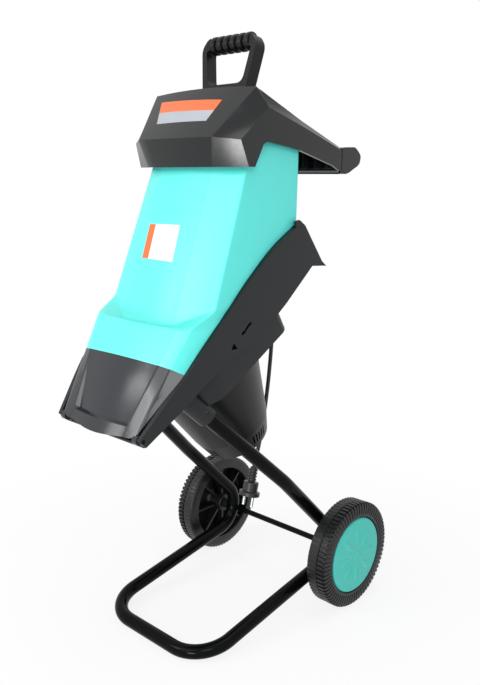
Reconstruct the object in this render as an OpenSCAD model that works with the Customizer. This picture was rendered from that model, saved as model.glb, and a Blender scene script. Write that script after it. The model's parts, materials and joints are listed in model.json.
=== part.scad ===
// Wheeled electric garden shredder: knife disc under a swing-up hopper, on a bent tube frame.
// Millimetres, +Z up, -Y is the discharge side, origin on the floor under the middle of the footprint.

/* [Wheels] */
// Radius of a wheel over its tread lugs
wheel_r = 90; // [82:1:100]
// Width of a wheel
wheel_w = 38; // [32:1:46]
// Distance from the middle of the machine to a wheel's inner face
wheel_in_x = 136; // [132:1:150]
// Radius of the turquoise hub cap
cap_r = 64; // [54:1:66]
// Height of the tread lugs
lug_h = 3.5; // [2:0.5:5]
// Number of lugs in one tread row
lug_count = 40; // [24:1:48]
// Radius of the axle rod
axle_r = 5; // [4:0.5:7]
// Radial clearance of a running fit
run_fit = 0.05; // [0.02:0.01:0.1]

/* [Frame tube] */
// Outer radius of the tube
tube_r = 11; // [9:0.5:13]
// Wall of the tube
tube_wall = 1.5; // [1:0.25:2.5]
// Distance from the middle of the machine to a rail's centreline
rail_x = 113.5; // [110:0.5:118]
// Distance from the axle forward to the front floor bar
bar_reach = 305; // [280:5:330]
// Bend radius at the front corners
front_bend_r = 60; // [45:1:75]
// Bend radius at the axle
rear_bend_r = 45; // [38:1:55]
// Angle by which the bend's centre lies above the axle
bend_dip = 14; // [8:1:20]
// Slope of the lower leg
leg_lean = 45; // [42:0.5:48]
// Height of the kink in the leg
kink_z = 238; // [225:1:250]
// Bend radius of the kink
kink_r = 120; // [90:5:150]
// Distance of a leg's upper end from the middle of the machine
leg_top_x = 76; // [70:1:84]

/* [Cutter deck] */
// Tilt of the cutter deck
deck_tilt = 30.3; // [28:0.1:32]
// Distance from the axle forward to the motor flange centre
deck_ahead = 194; // [190:1:200]
// Height of the motor flange centre
deck_z = 433; // [428:1:440]
// Half width of the deck
deck_half_w = 116; // [112:1:120]
// Half width of the deck at its front end
deck_front_half_w = 90; // [88:1:96]
// Wall of the deck under the hopper
deck_wall = 10; // [8:0.5:12]
// Height of the tray floor above the motor flange
tray_k = 58; // [56:1:60]
// Height of the disc recess floor above the motor flange
recess_k = 30; // [27:1:32]
// Half width of the discharge trough
trough_half_w = 70; // [62:1:74]
// Wall of the discharge trough
trough_wall = 4; // [3:0.5:5]
// Number of guard bars across the discharge mouth
guard_bars = 7; // [5:2:9]

/* [Cutter] */
// Radius of the cutter disc
disc_r = 82; // [74:1:84]
// Thickness of the cutter disc
disc_t = 9; // [7:0.5:10]
// Gap round the cutter disc
disc_gap = 6; // [4:0.5:8]
// Length of a knife
knife_l = 50; // [40:1:54]
// Width of a knife
knife_w = 24; // [18:1:28]
// Thickness of a knife
knife_t = 5; // [4:0.5:6]
// Radius of the motor shaft
shaft_r = 7.5; // [6.5:0.5:9]

/* [Motor] */
// Radius of the motor housing at its flange
can_top_r = 94; // [90:1:96]
// Radius of the motor housing at the end cap seam
can_low_r = 66; // [62:1:72]
// Length of the motor housing
can_len = 130; // [124:1:140]
// Length of the end cap
cap_len = 36; // [32:1:42]
// Radius of the end cap's closed end
cap_end_r = 55; // [50:1:60]
// Wall of the motor housing and end cap
can_wall = 3; // [2.5:0.5:4]
// Number of air slots in each of the end cap's four groups
air_slots = 5; // [3:1:7]
// Radius of the armature
armature_r = 29; // [26:0.5:32]
// Outer radius of the stator
stator_r = 50; // [46:1:54]

/* [Hopper] */
// Wall of the hopper
hopper_wall = 3.5; // [3:0.25:5]
// How far the deck rim stands out past the hopper side
rim_step = 5.2; // [4:0.2:6]
// Half width of the hopper's rear top
hopper_top_half_w = 104; // [100:1:106]
// Gap between the hopper and the deck rim
rim_gap = 0.4; // [0.3:0.05:0.8]
// Wall of the discharge nose front
nose_wall = 11; // [10:0.5:13]

/* [Hood and pusher] */
// Half width of the hood's sides
hood_half_w = 114; // [112:1:117]
// Wall of the hood
hood_wall = 4; // [3:0.5:5]
// Lean of the feed axis
feed_lean = 10.3; // [8:0.1:12]
// Height of the feed throat above the floor
throat_z = 777; // [765:1:790]
// Length of the feed throat across the machine
throat_w = 150; // [140:1:160]
// Depth of the feed throat
throat_d = 60; // [52:1:66]
// Width of the pusher's paddle
paddle_w = 110; // [100:1:120]
// Thickness of the pusher's paddle
paddle_t = 36; // [30:1:42]
// Length of the pusher's paddle below the throat
paddle_l = 210; // [180:5:230]
// Thickness of the pusher's handle
handle_t = 21; // [18:1:24]

/* [Locking knob and hinge] */
// Radius of the locking knob
knob_r = 28; // [24:1:32]
// Radius of the knob's stud
stud_r = 5; // [4:0.5:6]
// Radius of the hinge pins
pin_r = 3; // [2.5:0.25:3.5]
// Side clearance of the hinge lugs and the latch tongue
side_gap = 0.5; // [0.3:0.1:1]

/* [Switch and lead] */
// Side length of a push button
button_s = 18; // [14:1:20]
// Radius of the overload reset button
reset_r = 7; // [5:0.5:9]
// Gap round the buttons
button_gap = 0.4; // [0.3:0.1:0.8]
// Diameter of the power lead
lead_d = 7; // [6:0.5:8]
// Length of the strain relief
relief_l = 38; // [30:1:45]
// Radius of a plug pin
plug_pin_r = 2.4; // [2:0.1:2.4]
// Length of a plug pin
plug_pin_l = 19; // [18:0.5:20]
// Distance between the plug pins
plug_pin_pitch = 19; // [18.6:0.1:19.4]

/* [Hidden] */
$fn = 64;
black = "#2c2d2f";
steel_black = "#17181a";
turquoise = "#3fd0c0";
glossy_dark = "#3a3d42";
bright_steel = "#b4b6b8";
dark_metal = "#3c3e40";
copper = "#b06a3a";

// Footprint: the nose lip is the front of the machine, the tyres are its back
nose_front = 394.8;
nose_bulge = 6;
axle_y = (nose_front + nose_bulge - wheel_r) / 2;

// Frame tube corners, in the plane of a rail
bend_mid = [-rear_bend_r * cos(bend_dip), wheel_r + rear_bend_r * sin(bend_dip)];
bar_mid = [-bar_reach, tube_r];
rail_span = norm(bend_mid - bar_mid);
rail_rise = atan2(bend_mid[1] - bar_mid[1], bend_mid[0] - bar_mid[0]) - asin(rear_bend_r / rail_span);
rail_dir = [cos(rail_rise), sin(rail_rise)];
leg_dir = [-cos(leg_lean), sin(leg_lean)];
rear_turn = 180 - leg_lean - rail_rise;
rail_end = bar_mid + rail_dir * sqrt(rail_span * rail_span - rear_bend_r * rear_bend_r);
rear_corner = rail_end + rail_dir * rear_bend_r * tan(rear_turn / 2);
kink = rear_corner + leg_dir * (kink_z - rear_corner[1]) / leg_dir[1];

// Deck outline, as distance along the slope and height above the motor flange
rim_line = [[-202, 48], [-129, 75], [-46, 98], [60, 122], [128, 132], [184, 131]];
rim_ease = 24;
rim_last = len(rim_line) - 1;
rim_curve = concat([rim_line[0]], [for (i = [1 : rim_last - 1])
    each eased(rim_line[i - 1], rim_line[i], rim_line[i + 1], rim_ease)], [rim_line[rim_last]]);
rear_ear = [[187, 139], [196, 136], [203, 122]];
end_foot = [211.5, 51];
lip_line = [[217, 38], [188, 58]];
under_line = [[110, 45], [28, 37], [-30, 49], [-92, 49], [-198, 33]];
front_taper = [[-115, 4], [-60, 0]];
belly_front = -95;
belly_rear = 108;
belly_half_w = deck_half_w - 12;
belly_corner = 50;
belly_rear_corner = 18;
recess_r = disc_r + disc_gap;
hinge_tk = [-197, 43.4];
lug_r = 7;
lug_in = trough_half_w + 7;
lug_out = deck_front_half_w - 4;
tray_end = 186;

// Leg socket: the upper leg runs from the kink to a boss under the deck
leg_top = [leg_top_x, -283, 398];
kink_point = [rail_x, kink[0], kink[1]];
leg_up = (leg_top - kink_point) / norm(leg_top - kink_point);
socket_r = tube_r + 5;
socket_down = 36;
socket_up = 45;
tube_fit = 0.15;
leg_screw_r = 3;
leg_screw_down = 18;
leg_head_r = leg_screw_r + 2;
leg_head_t = 4;

// Motor stack, downward from the motor flange
bearing_r = 17.5;
bearing_t = 11;
low_bearing_r = 13;
low_bearing_t = 8;
low_shaft_r = 5;
bearing_top = 25;
low_bearing_k = -can_len - 8;
disc_k = recess_k + 15;
disc_top = disc_k + disc_t;
disc_seat_r = shaft_r - 1.5;
stack_top = -44;
brush_room = 24;
stack_bottom = brush_room - can_len;

// Hopper skin stations
hopper_low_half_w = deck_half_w - rim_step;
waist_z = 532;
ledge_z = 507;
skirt_z = 512;
cheek_z = 443;
nose_z = 368;

// Feed frame: throat centre on the hood floor
throat_y = -138;
floor_t = 4;
seat_gap = 0.3;
flange_margin = 8;
flange_t = 6;

// Rear end wall and latch
end_top = rear_ear[2];
end_lean = atan2(end_foot[0] - end_top[0], end_top[1] - end_foot[1]);
stud_k = 92;
stud_t = end_foot[0] - (stud_k - end_foot[1]) * tan(end_lean);
tongue_gap = 1.6;
tongue_t = 4;
tongue_half_w = 23;
tongue_drop = 20;
clamp_gap = 0.9;
knob_seat = tongue_gap + tongue_t + clamp_gap;

// Switch plate and lead exit on the belly's rear face
switch_k = 24;
switch_half_w = 34;
switch_half_h = 18;
switch_x = switch_half_w + belly_rear_corner + 2 - belly_half_w;
plate_t = 4;
button_h = 9;
relief_x = 5;
reset_x = relief_x + 50;
relief_k = 24;
relief_r = 8;
relief_tip_r = 5;

// Lead route from the strain relief's tip to the plug, and the plug's own axis
relief_tip = deck_point([relief_x, belly_rear + plate_t + relief_l, relief_k]);
lead_points = [[5, 100, 537], [5, 115, 533], [5, 126, 522], [5, 130, 507], [5, 130, 485], [5, 129.5, 460],
    [5, 127, 425], [5, 123, 390], [5, 118, 355], [5, 111, 318], [5, 102, 277], [5, 94, 250]];
plug_top = [5, 85, 222];
plug_lean = 15;
plug_boot_l = 26;
plug_body_l = 24;
plug_r = 18;

// Vector and outline helpers
function unit(v) = v / norm(v);
function flip_x(points) = [for (i = [len(points) - 1 : -1 : 0]) [-points[i][0], points[i][1]]];
function at_z(points, z) = [for (p = points) [p[0], p[1], z]];
function deck_point(p) = [p[0],
    axle_y - deck_ahead + p[1] * cos(deck_tilt) - p[2] * sin(deck_tilt),
    deck_z + p[1] * sin(deck_tilt) + p[2] * cos(deck_tilt)];

// Corner p between neighbours a and b, eased over the given set-back
function eased(a, p, b, set_back, steps = 4) = let (u = unit(a - p), v = unit(b - p))
    [for (i = [0 : steps]) let (s = i / steps)
        (1 - s) * (1 - s) * (p + u * set_back) + 2 * s * (1 - s) * p + s * s * (p + v * set_back)];
function eased_outline(points, set_back) = let (n = len(points))
    [for (i = [0 : n - 1]) each eased(points[(i + n - 1) % n], points[i], points[(i + 1) % n], set_back)];

// Placement
module from_axle() { translate([0, axle_y, 0]) children(); }
module on_deck() { from_axle() translate([0, -deck_ahead, deck_z]) rotate([deck_tilt, 0, 0]) children(); }
module on_feed() { from_axle() translate([0, throat_y, throat_z]) rotate([-feed_lean, 0, 0]) children(); }
module on_end() { on_deck() translate([0, stud_t, stud_k]) rotate([end_lean - 90, 0, 0]) children(); }
module at_hinge() { on_deck() translate([0, hinge_tk[0], hinge_tk[1]]) children(); }
module on_plug() { translate(plug_top) rotate([-plug_lean, 0, 0]) children(); }
module both_sides() { children(); mirror([1, 0, 0]) children(); }

// Side outline drawn in the Y-Z plane, extruded across the machine
module across(x0, x1) {
    translate([x0, 0, 0]) rotate([90, 0, 90]) linear_extrude(x1 - x0) children();
}

// Cylinder along X between two positions
module bar_x(r, x0, x1) { translate([x0, 0, 0]) rotate([0, 90, 0]) cylinder(r = r, h = x1 - x0); }

// Closed skin through a loop of rings with equal point counts
module ring_loft(rings) {
    n = len(rings[0]);
    m = len(rings);
    polyhedron(
        points = [for (ring = rings) each ring],
        faces = [for (i = [0 : m - 1], j = [0 : n - 1])
            let (a = i * n, b = ((i + 1) % m) * n, k = (j + 1) % n)
            each [[a + j, a + k, b + j], [a + k, b + k, b + j]]]);
}

// Rectangle with round corners
module round_plate(x0, x1, y0, y1, r) {
    translate([x0 + r, y0]) square([x1 - x0 - 2 * r, y1 - y0]);
    translate([x0, y0 + r]) square([x1 - x0, y1 - y0 - 2 * r]);
    for (x = [x0 + r, x1 - r], y = [y0 + r, y1 - r]) translate([x, y]) circle(r);
}

// Frame tube: bends with straight runs lapped into their ends
run_lap = 1;
run_ease = 0.02;
frame_route = [[0, bar_mid[0], bar_mid[1]], [rail_x, bar_mid[0], bar_mid[1]],
    [rail_x, rear_corner[0], rear_corner[1]], kink_point, leg_top];
bend_radii = [0, front_bend_r, rear_bend_r, kink_r, 0];
function run_dir(i) = unit(frame_route[i + 1] - frame_route[i]);
function bend_half(i) = acos(run_dir(i - 1) * run_dir(i)) / 2;
function bend_reach(i) = bend_radii[i] == 0 ? 0 : bend_radii[i] * tan(bend_half(i));
module tube_bend(i, r) {
    p = frame_route[i];
    u = run_dir(i - 1);
    v = run_dir(i);
    mid = p + unit(v - u) * bend_radii[i] / cos(bend_half(i));
    x = unit(p - u * bend_reach(i) - mid);
    z = unit(cross(u, v));
    multmatrix([[x[0], u[0], z[0], mid[0]], [x[1], u[1], z[1], mid[1]], [x[2], u[2], z[2], mid[2]],
        [0, 0, 0, 1]])
        rotate_extrude(angle = 2 * bend_half(i)) translate([bend_radii[i], 0]) circle(r);
}
module tube_run(i, r) {
    d = run_dir(i);
    start = frame_route[i] + d * (bend_reach(i) - run_lap);
    lap = bend_radii[i + 1] == 0 ? 0 : run_lap;
    length = norm(frame_route[i + 1] - frame_route[i]) - bend_reach(i) - bend_reach(i + 1) + run_lap + lap;
    translate(start) orient(d) cylinder(r = r - run_ease, h = length);
}
module frame_path(r) {
    bar_half = rail_x - bend_reach(1) + run_lap;
    translate(frame_route[0]) bar_x(r - run_ease, -bar_half, bar_half);
    both_sides() for (i = [1 : 3]) {
        tube_bend(i, r);
        tube_run(i, r);
    }
}
module at_leg_screw() { translate(leg_top - leg_up * leg_screw_down) children(); }
module frame_tube() {
    color(steel_black) from_axle() difference() {
        frame_path(tube_r);
        frame_path(tube_r - tube_wall);
        translate([0, 0, wheel_r]) bar_x(axle_r + run_fit, -wheel_in_x, wheel_in_x);
        both_sides() at_leg_screw() bar_x(leg_screw_r + run_fit, -socket_r, socket_r);
    }
}

// Running gear
hub_r = 16;
hub_out = 2;
web_x = wheel_w - 10;
web_t = 4;
retainer_t = 3;
axle_half = wheel_in_x + web_x + web_t + retainer_t;
module at_wheel() { from_axle() translate([wheel_in_x, 0, wheel_r]) rotate([0, 90, 0]) children(); }
module axle() {
    color(steel_black) from_axle() translate([0, 0, wheel_r]) bar_x(axle_r, -axle_half, axle_half);
}
module wheel_spacers() {
    color(black) both_sides() from_axle() translate([0, 0, wheel_r]) difference() {
        bar_x(axle_r + 4, rail_x + tube_r, wheel_in_x - hub_out - seat_gap);
        bar_x(axle_r + run_fit, rail_x, wheel_in_x);
    }
}
module axle_retainers() {
    color(bright_steel) both_sides() at_wheel() translate([0, 0, web_x + web_t + seat_gap]) difference() {
        cylinder(r = axle_r + 5, h = retainer_t - seat_gap);
        translate([0, 0, -1]) cylinder(r = axle_r + run_fit, h = retainer_t + 2);
    }
}
module lug_ring(height, phase) {
    pitch = 360 / lug_count;
    low = wheel_r - lug_h;
    linear_extrude(height) difference() {
        polygon([for (i = [0 : lug_count - 1]) let (a = i * pitch + phase)
            each [low * dir(a), wheel_r * dir(a + 0.08 * pitch), wheel_r * dir(a + 0.58 * pitch),
                low * dir(a + 0.66 * pitch)]]);
        circle(low - 4);
    }
}
function dir(a) = [cos(a), sin(a)];
module wheel() {
    rib_count = 8;
    row_w = wheel_w * 0.4;
    rim_in = cap_r + 4;
    body_r = wheel_r - lug_h - 0.5;
    rotate_extrude() {
        translate([rim_in, 2]) square([body_r - rim_in, wheel_w - 4]);
        translate([rim_in, 0]) square([body_r - rim_in - 3, wheel_w]);
        translate([axle_r + run_fit, -hub_out]) square([hub_r - axle_r - run_fit, web_x + web_t + hub_out]);
        translate([hub_r - 1, web_x]) square([rim_in - hub_r + 2, web_t]);
    }
    translate([0, 0, 3]) lug_ring(row_w, 0);
    translate([0, 0, wheel_w - 3 - row_w]) lug_ring(row_w, 180 / lug_count);
    for (i = [0 : rib_count - 1]) rotate((i + 0.5) * 360 / rib_count)
        translate([hub_r - 1, -2, 6]) cube([rim_in - hub_r + 2, 4, web_x - 5]);
}
module hub_cap() {
    petals = 8;
    face = wheel_w + 0.5;
    lip = web_x + web_t;
    rotate_extrude() {
        translate([cap_r - 4, lip]) square([4, face - lip]);
        translate([0, face - 3]) square([cap_r - 1, 3]);
        translate([0, face - 1]) square([12, 2]);
    }
    for (i = [0 : petals - 1]) rotate(i * 360 / petals) translate([cap_r * 0.56, 0, face - 1])
        linear_extrude(1.8)
        intersection() {
            translate([0, -18]) circle(25);
            translate([0, 18]) circle(25);
        }
}
module right_wheel() { color(black) at_wheel() wheel(); }
module left_wheel() { color(black) mirror([1, 0, 0]) at_wheel() wheel(); }
module right_hub_cap() { color(turquoise) at_wheel() hub_cap(); }
module left_hub_cap() { color(turquoise) mirror([1, 0, 0]) at_wheel() hub_cap(); }

// Base housing
deck_outline = concat(rim_curve, rear_ear, [end_foot], lip_line, under_line);
function deck_plan(inset) = let (half = [[deck_half_w - inset, 240],
    [deck_half_w - inset, front_taper[1][0]],
        [deck_half_w - front_taper[0][1] - inset, front_taper[0][0]],
            [deck_front_half_w - inset * 0.5, -215]])
    concat(half, flip_x(half));
tray_outline = [[-225, 36], [-198, 39], [-85, tray_k - 1], [-80, tray_k], [100, tray_k], [150, tray_k + 8],
    [tray_end, tray_k + 14], [tray_end, 160], [-225, 160]];
trough_end = -166;
guard_tk = [hinge_tk[0] + 1, 33];
guard_r = 3;
module belly() {
    bw = belly_half_w;
    linear_extrude(tray_k - 8) {
        round_plate(-bw, bw, belly_front, belly_rear - belly_corner, belly_corner);
        round_plate(-bw, bw, belly_front + belly_corner + belly_rear_corner, belly_rear, belly_rear_corner);
    }
}
module trough_block(half_w, bottom, front) {
    translate([-half_w, front, bottom]) cube([2 * half_w, belly_front + 10 - front, tray_k - bottom]);
}
module discharge_guard() {
    step = 2 * trough_half_w / (guard_bars + 1);
    translate([0, guard_tk[0], guard_tk[1]]) bar_x(guard_r, -deck_front_half_w + 2, deck_front_half_w - 2);
    for (i = [1 : guard_bars]) translate([-trough_half_w + i * step - 2, guard_tk[0],
        guard_tk[1] - guard_r])
        cube([4, trough_end + 3 - guard_tk[0], 2 * guard_r]);
}
module leg_socket() {
    translate(leg_top - leg_up * socket_down) orient(leg_up)
        cylinder(r = socket_r, h = socket_down + socket_up);
}
module orient(d) { rotate([0, acos(d[2]), atan2(d[1], d[0])]) children(); }
boss_wall = 8;
pocket_ribs = 6;
module bearing_pocket() {
    pocket_r = can_top_r - flange_w - 2;
    difference() {
        translate([0, 0, -1]) cylinder(r = pocket_r, h = recess_k - boss_wall + 1);
        translate([0, 0, -2]) cylinder(r = bearing_r + boss_wall, h = recess_k);
        for (i = [0 : pocket_ribs - 1]) rotate(i * 360 / pocket_ribs) translate([0, -trough_wall / 2, -2])
            cube([pocket_r + 1, trough_wall, recess_k]);
    }
}
module base_housing() {
    color(black) difference() {
        union() {
            on_deck() intersection() {
                across(-deck_half_w, deck_half_w) polygon(deck_outline);
                linear_extrude(300, center = true) polygon(deck_plan(0));
            }
            on_deck() belly();
            on_deck() difference() {
                trough_block(trough_half_w + trough_wall, recess_k, hinge_tk[0] + 2);
                trough_block(trough_half_w, recess_k - 1, hinge_tk[0] - 4);
            }
            on_deck() trough_block(trough_half_w + trough_wall, recess_k, trough_end);
            both_sides() from_axle() leg_socket();
        }
        on_deck() intersection() {
            across(-deck_half_w, deck_half_w) polygon(tray_outline);
            linear_extrude(400, center = true) polygon(deck_plan(deck_wall));
        }
        on_deck() trough_block(trough_half_w, recess_k + trough_wall, -230);
        on_deck() translate([0, 0, recess_k]) cylinder(r = recess_r, h = 60);
        on_deck() translate([0, 0, -1]) cylinder(r = bearing_r + run_fit, h = bearing_top + 1);
        on_deck() cylinder(r = shaft_r + 4, h = recess_k + 1);
        on_deck() bearing_pocket();
        at_hinge() bar_x(pin_r + run_fit, -deck_half_w, deck_half_w);
        both_sides() at_hinge() bar_x(lug_r + side_gap, lug_in - side_gap, lug_out + side_gap);
        on_end() translate([0, 0, -40]) cylinder(r = stud_r + run_fit, h = 60);
        on_deck() translate([-tongue_half_w - 3, tray_end - 1, rim_line[rim_last][1] - 1])
            cube([2 * tongue_half_w + 6, 40, 20]);
        from_axle() translate([-hopper_low_half_w - 0.7, -150, 637.5])
            cube([2 * hopper_low_half_w + 1.4, 61.5, 60]);
        both_sides() from_axle() translate(leg_top - leg_up * (socket_down + 1)) orient(leg_up)
            cylinder(r = tube_r + tube_fit, h = socket_down + 1);
        both_sides() from_axle() at_leg_screw() {
            bar_x(leg_screw_r + run_fit, -socket_r - leg_head_t, socket_r + leg_head_t);
            bar_x(leg_head_r + seat_gap, -socket_r - 2 * leg_head_t, -socket_r);
        }
        on_deck() at_housing_screws() cylinder(r = screw_r + run_fit, h = 16);
        on_deck() switch_pocket();
    }
    color(black) on_deck() discharge_guard();
}
module leg_screws() {
    color(dark_metal) both_sides() from_axle() at_leg_screw() {
        bar_x(leg_screw_r, -socket_r, socket_r);
        bar_x(leg_head_r, -socket_r - leg_head_t, -socket_r);
    }
}
module hinge_pins() {
    color(bright_steel) both_sides() at_hinge() bar_x(pin_r, lug_in - 1, deck_front_half_w - 1);
}
module deflector_plate() {
    plate_front = -152;
    color(bright_steel) on_deck() translate([-trough_half_w - 8, plate_front, tray_k])
        cube([2 * trough_half_w + 16, -recess_r + 2 - plate_front, 3]);
}

// Motor
screw_r = 3;
module at_housing_screws() {
    for (i = [0 : 3]) rotate(45 + 90 * i) translate([can_top_r - 8, 0, 0]) children();
}
flange_k = 6;
flange_w = 18;
function can_r(s) = can_top_r + (can_low_r - can_top_r) * s / can_len;
module motor_housing() {
    rib_l = stack_top - stack_bottom;
    color(black) on_deck() difference() {
        union() {
            rotate_extrude() polygon([[can_top_r, 0], [can_low_r, -can_len],
                [can_low_r - can_wall, -can_len],
                [can_r(flange_k) - can_wall, -flange_k], [can_top_r - flange_w, -flange_k],
                    [can_top_r - flange_w, 0]]);
            intersection() {
                for (i = [0 : 3]) rotate(90 * i) translate([stator_r - 4, -4, stack_bottom])
                    cube([can_top_r - stator_r, 8, rib_l]);
                rotate_extrude() polygon([[0, 0], [can_top_r - 2, 0], [can_low_r - 2, -can_len],
                    [0, -can_len]]);
            }
        }
        translate([0, 0, stack_bottom - 1]) cylinder(r = stator_r + run_fit, h = rib_l + 2);
        at_housing_screws() translate([0, 0, -20]) cylinder(r = screw_r + run_fit, h = 30);
    }
}
module housing_screws() {
    color(bright_steel) on_deck() at_housing_screws() translate([0, 0, -flange_k - 6])
        cylinder(r = screw_r, h = flange_k + 18);
}
module motor_end_cap() {
    end_k = -can_len - cap_len;
    slot_w = 3;
    slot_pitch = 6;
    color(black) on_deck() difference() {
        union() {
            rotate_extrude() polygon([[can_low_r, -can_len], [cap_end_r, end_k], [0, end_k],
                [0, end_k + can_wall],
                [cap_end_r - can_wall, end_k + can_wall], [can_low_r - can_wall, -can_len]]);
            translate([0, 0, end_k + 1]) cylinder(r = low_bearing_r + 4, h = low_bearing_k - end_k - 1);
            intersection() {
                for (i = [0 : 1]) rotate(90 * i) translate([-can_low_r, -8, -can_len - 4])
                    cube([2 * can_low_r, 16, 4]);
                rotate_extrude() polygon([[0, 0], [can_low_r - 1, -can_len], [cap_end_r - 1, end_k],
                    [0, end_k]]);
            }
        }
        translate([0, 0, low_bearing_k - low_bearing_t]) cylinder(r = low_bearing_r + run_fit, h = 60);
        translate([0, 0, end_k + can_wall]) cylinder(r = low_shaft_r + 3, h = 60);
        for (g = [0 : 3], i = [0 : air_slots - 1]) rotate(90 * g + slot_pitch * (i - (air_slots - 1) / 2))
            translate([cap_end_r - 8, -slot_w / 2, end_k + 9]) cube([30, slot_w, cap_len - 17]);
    }
}
module motor_stator() {
    color(bright_steel) on_deck() translate([0, 0, stack_bottom]) difference() {
        cylinder(r = stator_r, h = stack_top - stack_bottom);
        translate([0, 0, -1]) cylinder(r = armature_r + 1.5, h = stack_top - stack_bottom + 2);
    }
}
module field_coils() {
    coil_h = 9;
    color(copper) on_deck() for (k = [stack_top, stack_bottom - coil_h], a = [0, 180]) translate([0, 0, k])
        rotate(a + 20) rotate_extrude(angle = 140) translate([armature_r + 4, 0])
            square([stator_r - armature_r - 7, coil_h]);
}
module brush_holders() {
    color("#c8a24a") on_deck() for (a = [0, 180]) rotate(a) difference() {
        translate([20, -6, -can_len]) cube([22, 12, 18]);
        translate([19, -4, -can_len + 5]) cube([20, 8, 8]);
    }
}
module carbon_brushes() {
    color("#303234") on_deck() for (a = [0, 180]) rotate(a)
        translate([commutator_r + seat_gap, -4, -can_len + 5])
        cube([20, 8, 8]);
}
commutator_r = 17;
module ring_part(r_out, r_in, k0, k1) {
    translate([0, 0, k0]) difference() {
        cylinder(r = r_out, h = k1 - k0);
        translate([0, 0, -1]) cylinder(r = r_in, h = k1 - k0 + 2);
    }
}
module upper_bearing() {
    color(bright_steel) on_deck() ring_part(bearing_r, shaft_r + run_fit, bearing_top - bearing_t,
        bearing_top);
}
module lower_bearing() {
    color(bright_steel) on_deck() ring_part(low_bearing_r, low_shaft_r + run_fit,
        low_bearing_k - low_bearing_t, low_bearing_k);
}
module motor_shaft() {
    shoulder = stack_bottom - 26;
    color(bright_steel) on_deck() difference() {
        union() {
            translate([0, 0, shoulder]) cylinder(r = shaft_r, h = disc_k - shoulder);
            translate([0, 0, disc_k - 1]) cylinder(r = disc_seat_r, h = disc_t);
            translate([0, 0, low_bearing_k - low_bearing_t - 2])
                cylinder(r = low_shaft_r, h = shoulder - low_bearing_k + low_bearing_t + 3);
        }
        translate([0, 0, disc_k - 14]) cylinder(r = bolt_r + run_fit, h = 40);
    }
}
module armature() {
    color("#7d7f82") on_deck() ring_part(armature_r, shaft_r + run_fit, stack_bottom, stack_top);
}
module commutator() {
    color(copper) on_deck() ring_part(commutator_r, shaft_r + run_fit, stack_bottom - 22, stack_bottom - 2);
}
module cooling_fan() {
    fan_r = 58;
    blades = 12;
    color(black) on_deck() {
        ring_part(fan_r, shaft_r + run_fit, -14, -11);
        ring_part(shaft_r + 8, shaft_r + run_fit, -28, -11);
        for (i = [0 : blades - 1]) rotate(i * 360 / blades) translate([shaft_r + 7, -1, -28])
            cube([fan_r - shaft_r - 8, 2, 15]);
    }
}

// Cutter
bolt_r = 4;
washer_t = 3;
knife_in = 26;
knife_side = 8;
slot_w = 11;
module at_knives() { for (a = [0, 180]) rotate(a) children(); }
module cutter_disc() {
    color(bright_steel) on_deck() difference() {
        union() {
            translate([0, 0, disc_k]) cylinder(r = disc_r, h = disc_t);
            at_knives() translate([disc_r - 30, -24, disc_k - 9]) cube([22, 8, 10]);
        }
        translate([0, 0, disc_k - 1]) cylinder(r = disc_seat_r + run_fit, h = disc_t + 2);
        at_knives() translate([knife_in, -slot_w + knife_side, disc_k - 1])
            cube([knife_l, slot_w, disc_t + 2]);
        at_knife_screws() translate([0, 0, disc_k - 1]) cylinder(r = screw_r + run_fit, h = disc_t + 2);
    }
}
module at_knife_screws() {
    at_knives() for (x = [knife_in + 12, knife_in + knife_l - 12])
        translate([x, knife_side + knife_w / 2, 0]) children();
}
module knives() {
    color("#d5d7d9") on_deck() difference() {
        at_knives() translate([knife_in, knife_side - 4, disc_top]) rotate([90, 0, 90])
            linear_extrude(knife_l) polygon([[0, 0], [knife_w, 0], [knife_w, knife_t],
                [knife_t + 2, knife_t]]);
        at_knife_screws() translate([0, 0, disc_top - 1]) cylinder(r = screw_r + run_fit, h = knife_t + 2);
    }
}
module knife_screws() {
    color("#5a5c5e") on_deck() at_knife_screws() {
        translate([0, 0, disc_k + 1]) cylinder(r = screw_r, h = disc_t + knife_t - 1);
        translate([0, 0, disc_top + knife_t]) cylinder(r = screw_r + 2, h = 3);
    }
}
module disc_washer() {
    color(bright_steel) on_deck() ring_part(16, bolt_r + run_fit, disc_top, disc_top + washer_t);
}
module disc_bolt() {
    color("#5a5c5e") on_deck() {
        translate([0, 0, disc_k - 12]) cylinder(r = bolt_r, h = disc_t + 12 + washer_t);
        translate([0, 0, disc_top + washer_t]) cylinder(r = 9, h = 7, $fn = 6);
    }
}

// Hopper and discharge nose share one tapered skin, parted at the seam
edge_ease = 3;
rear_ease = 5;
function skin(z, front_z, flat, front, bulge, edge, side, rear, wall, face_wall) = let (
        edge_in = [edge[0] - wall, edge[1] + face_wall * 0.9, z],
        side_in = [side[0] - wall, side[1] + face_wall * 0.9, z],
        half = concat(
            [for (f = [0 : 0.25 : 1]) [f * (flat - wall * 0.4), front - bulge * (1 - f * f) + face_wall,
                front_z]],
            eased([flat, front, front_z], edge_in, side_in, edge_ease),
            [side_in],
            eased(side_in, [rear[0] - wall, rear[1] - wall, z], [0, rear[1] - wall, z], rear_ease)))
    concat([for (i = [len(half) - 1 : -1 : 1]) [-half[i][0], half[i][1], half[i][2]]], half);
low = hopper_low_half_w;
top = hopper_top_half_w;
nose_edge_x = deck_front_half_w - 10.2;
cheek_edge_x = low - 8.5 + (nose_edge_x - low + 8.5) * (skirt_z - cheek_z) / (skirt_z - nose_z);
floor_drop = floor_t / cos(feed_lean);
function on_floor(ring) = [for (p = ring)
    [p[0], p[1], throat_z - floor_drop - (p[1] - throat_y) * tan(feed_lean)]];
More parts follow.
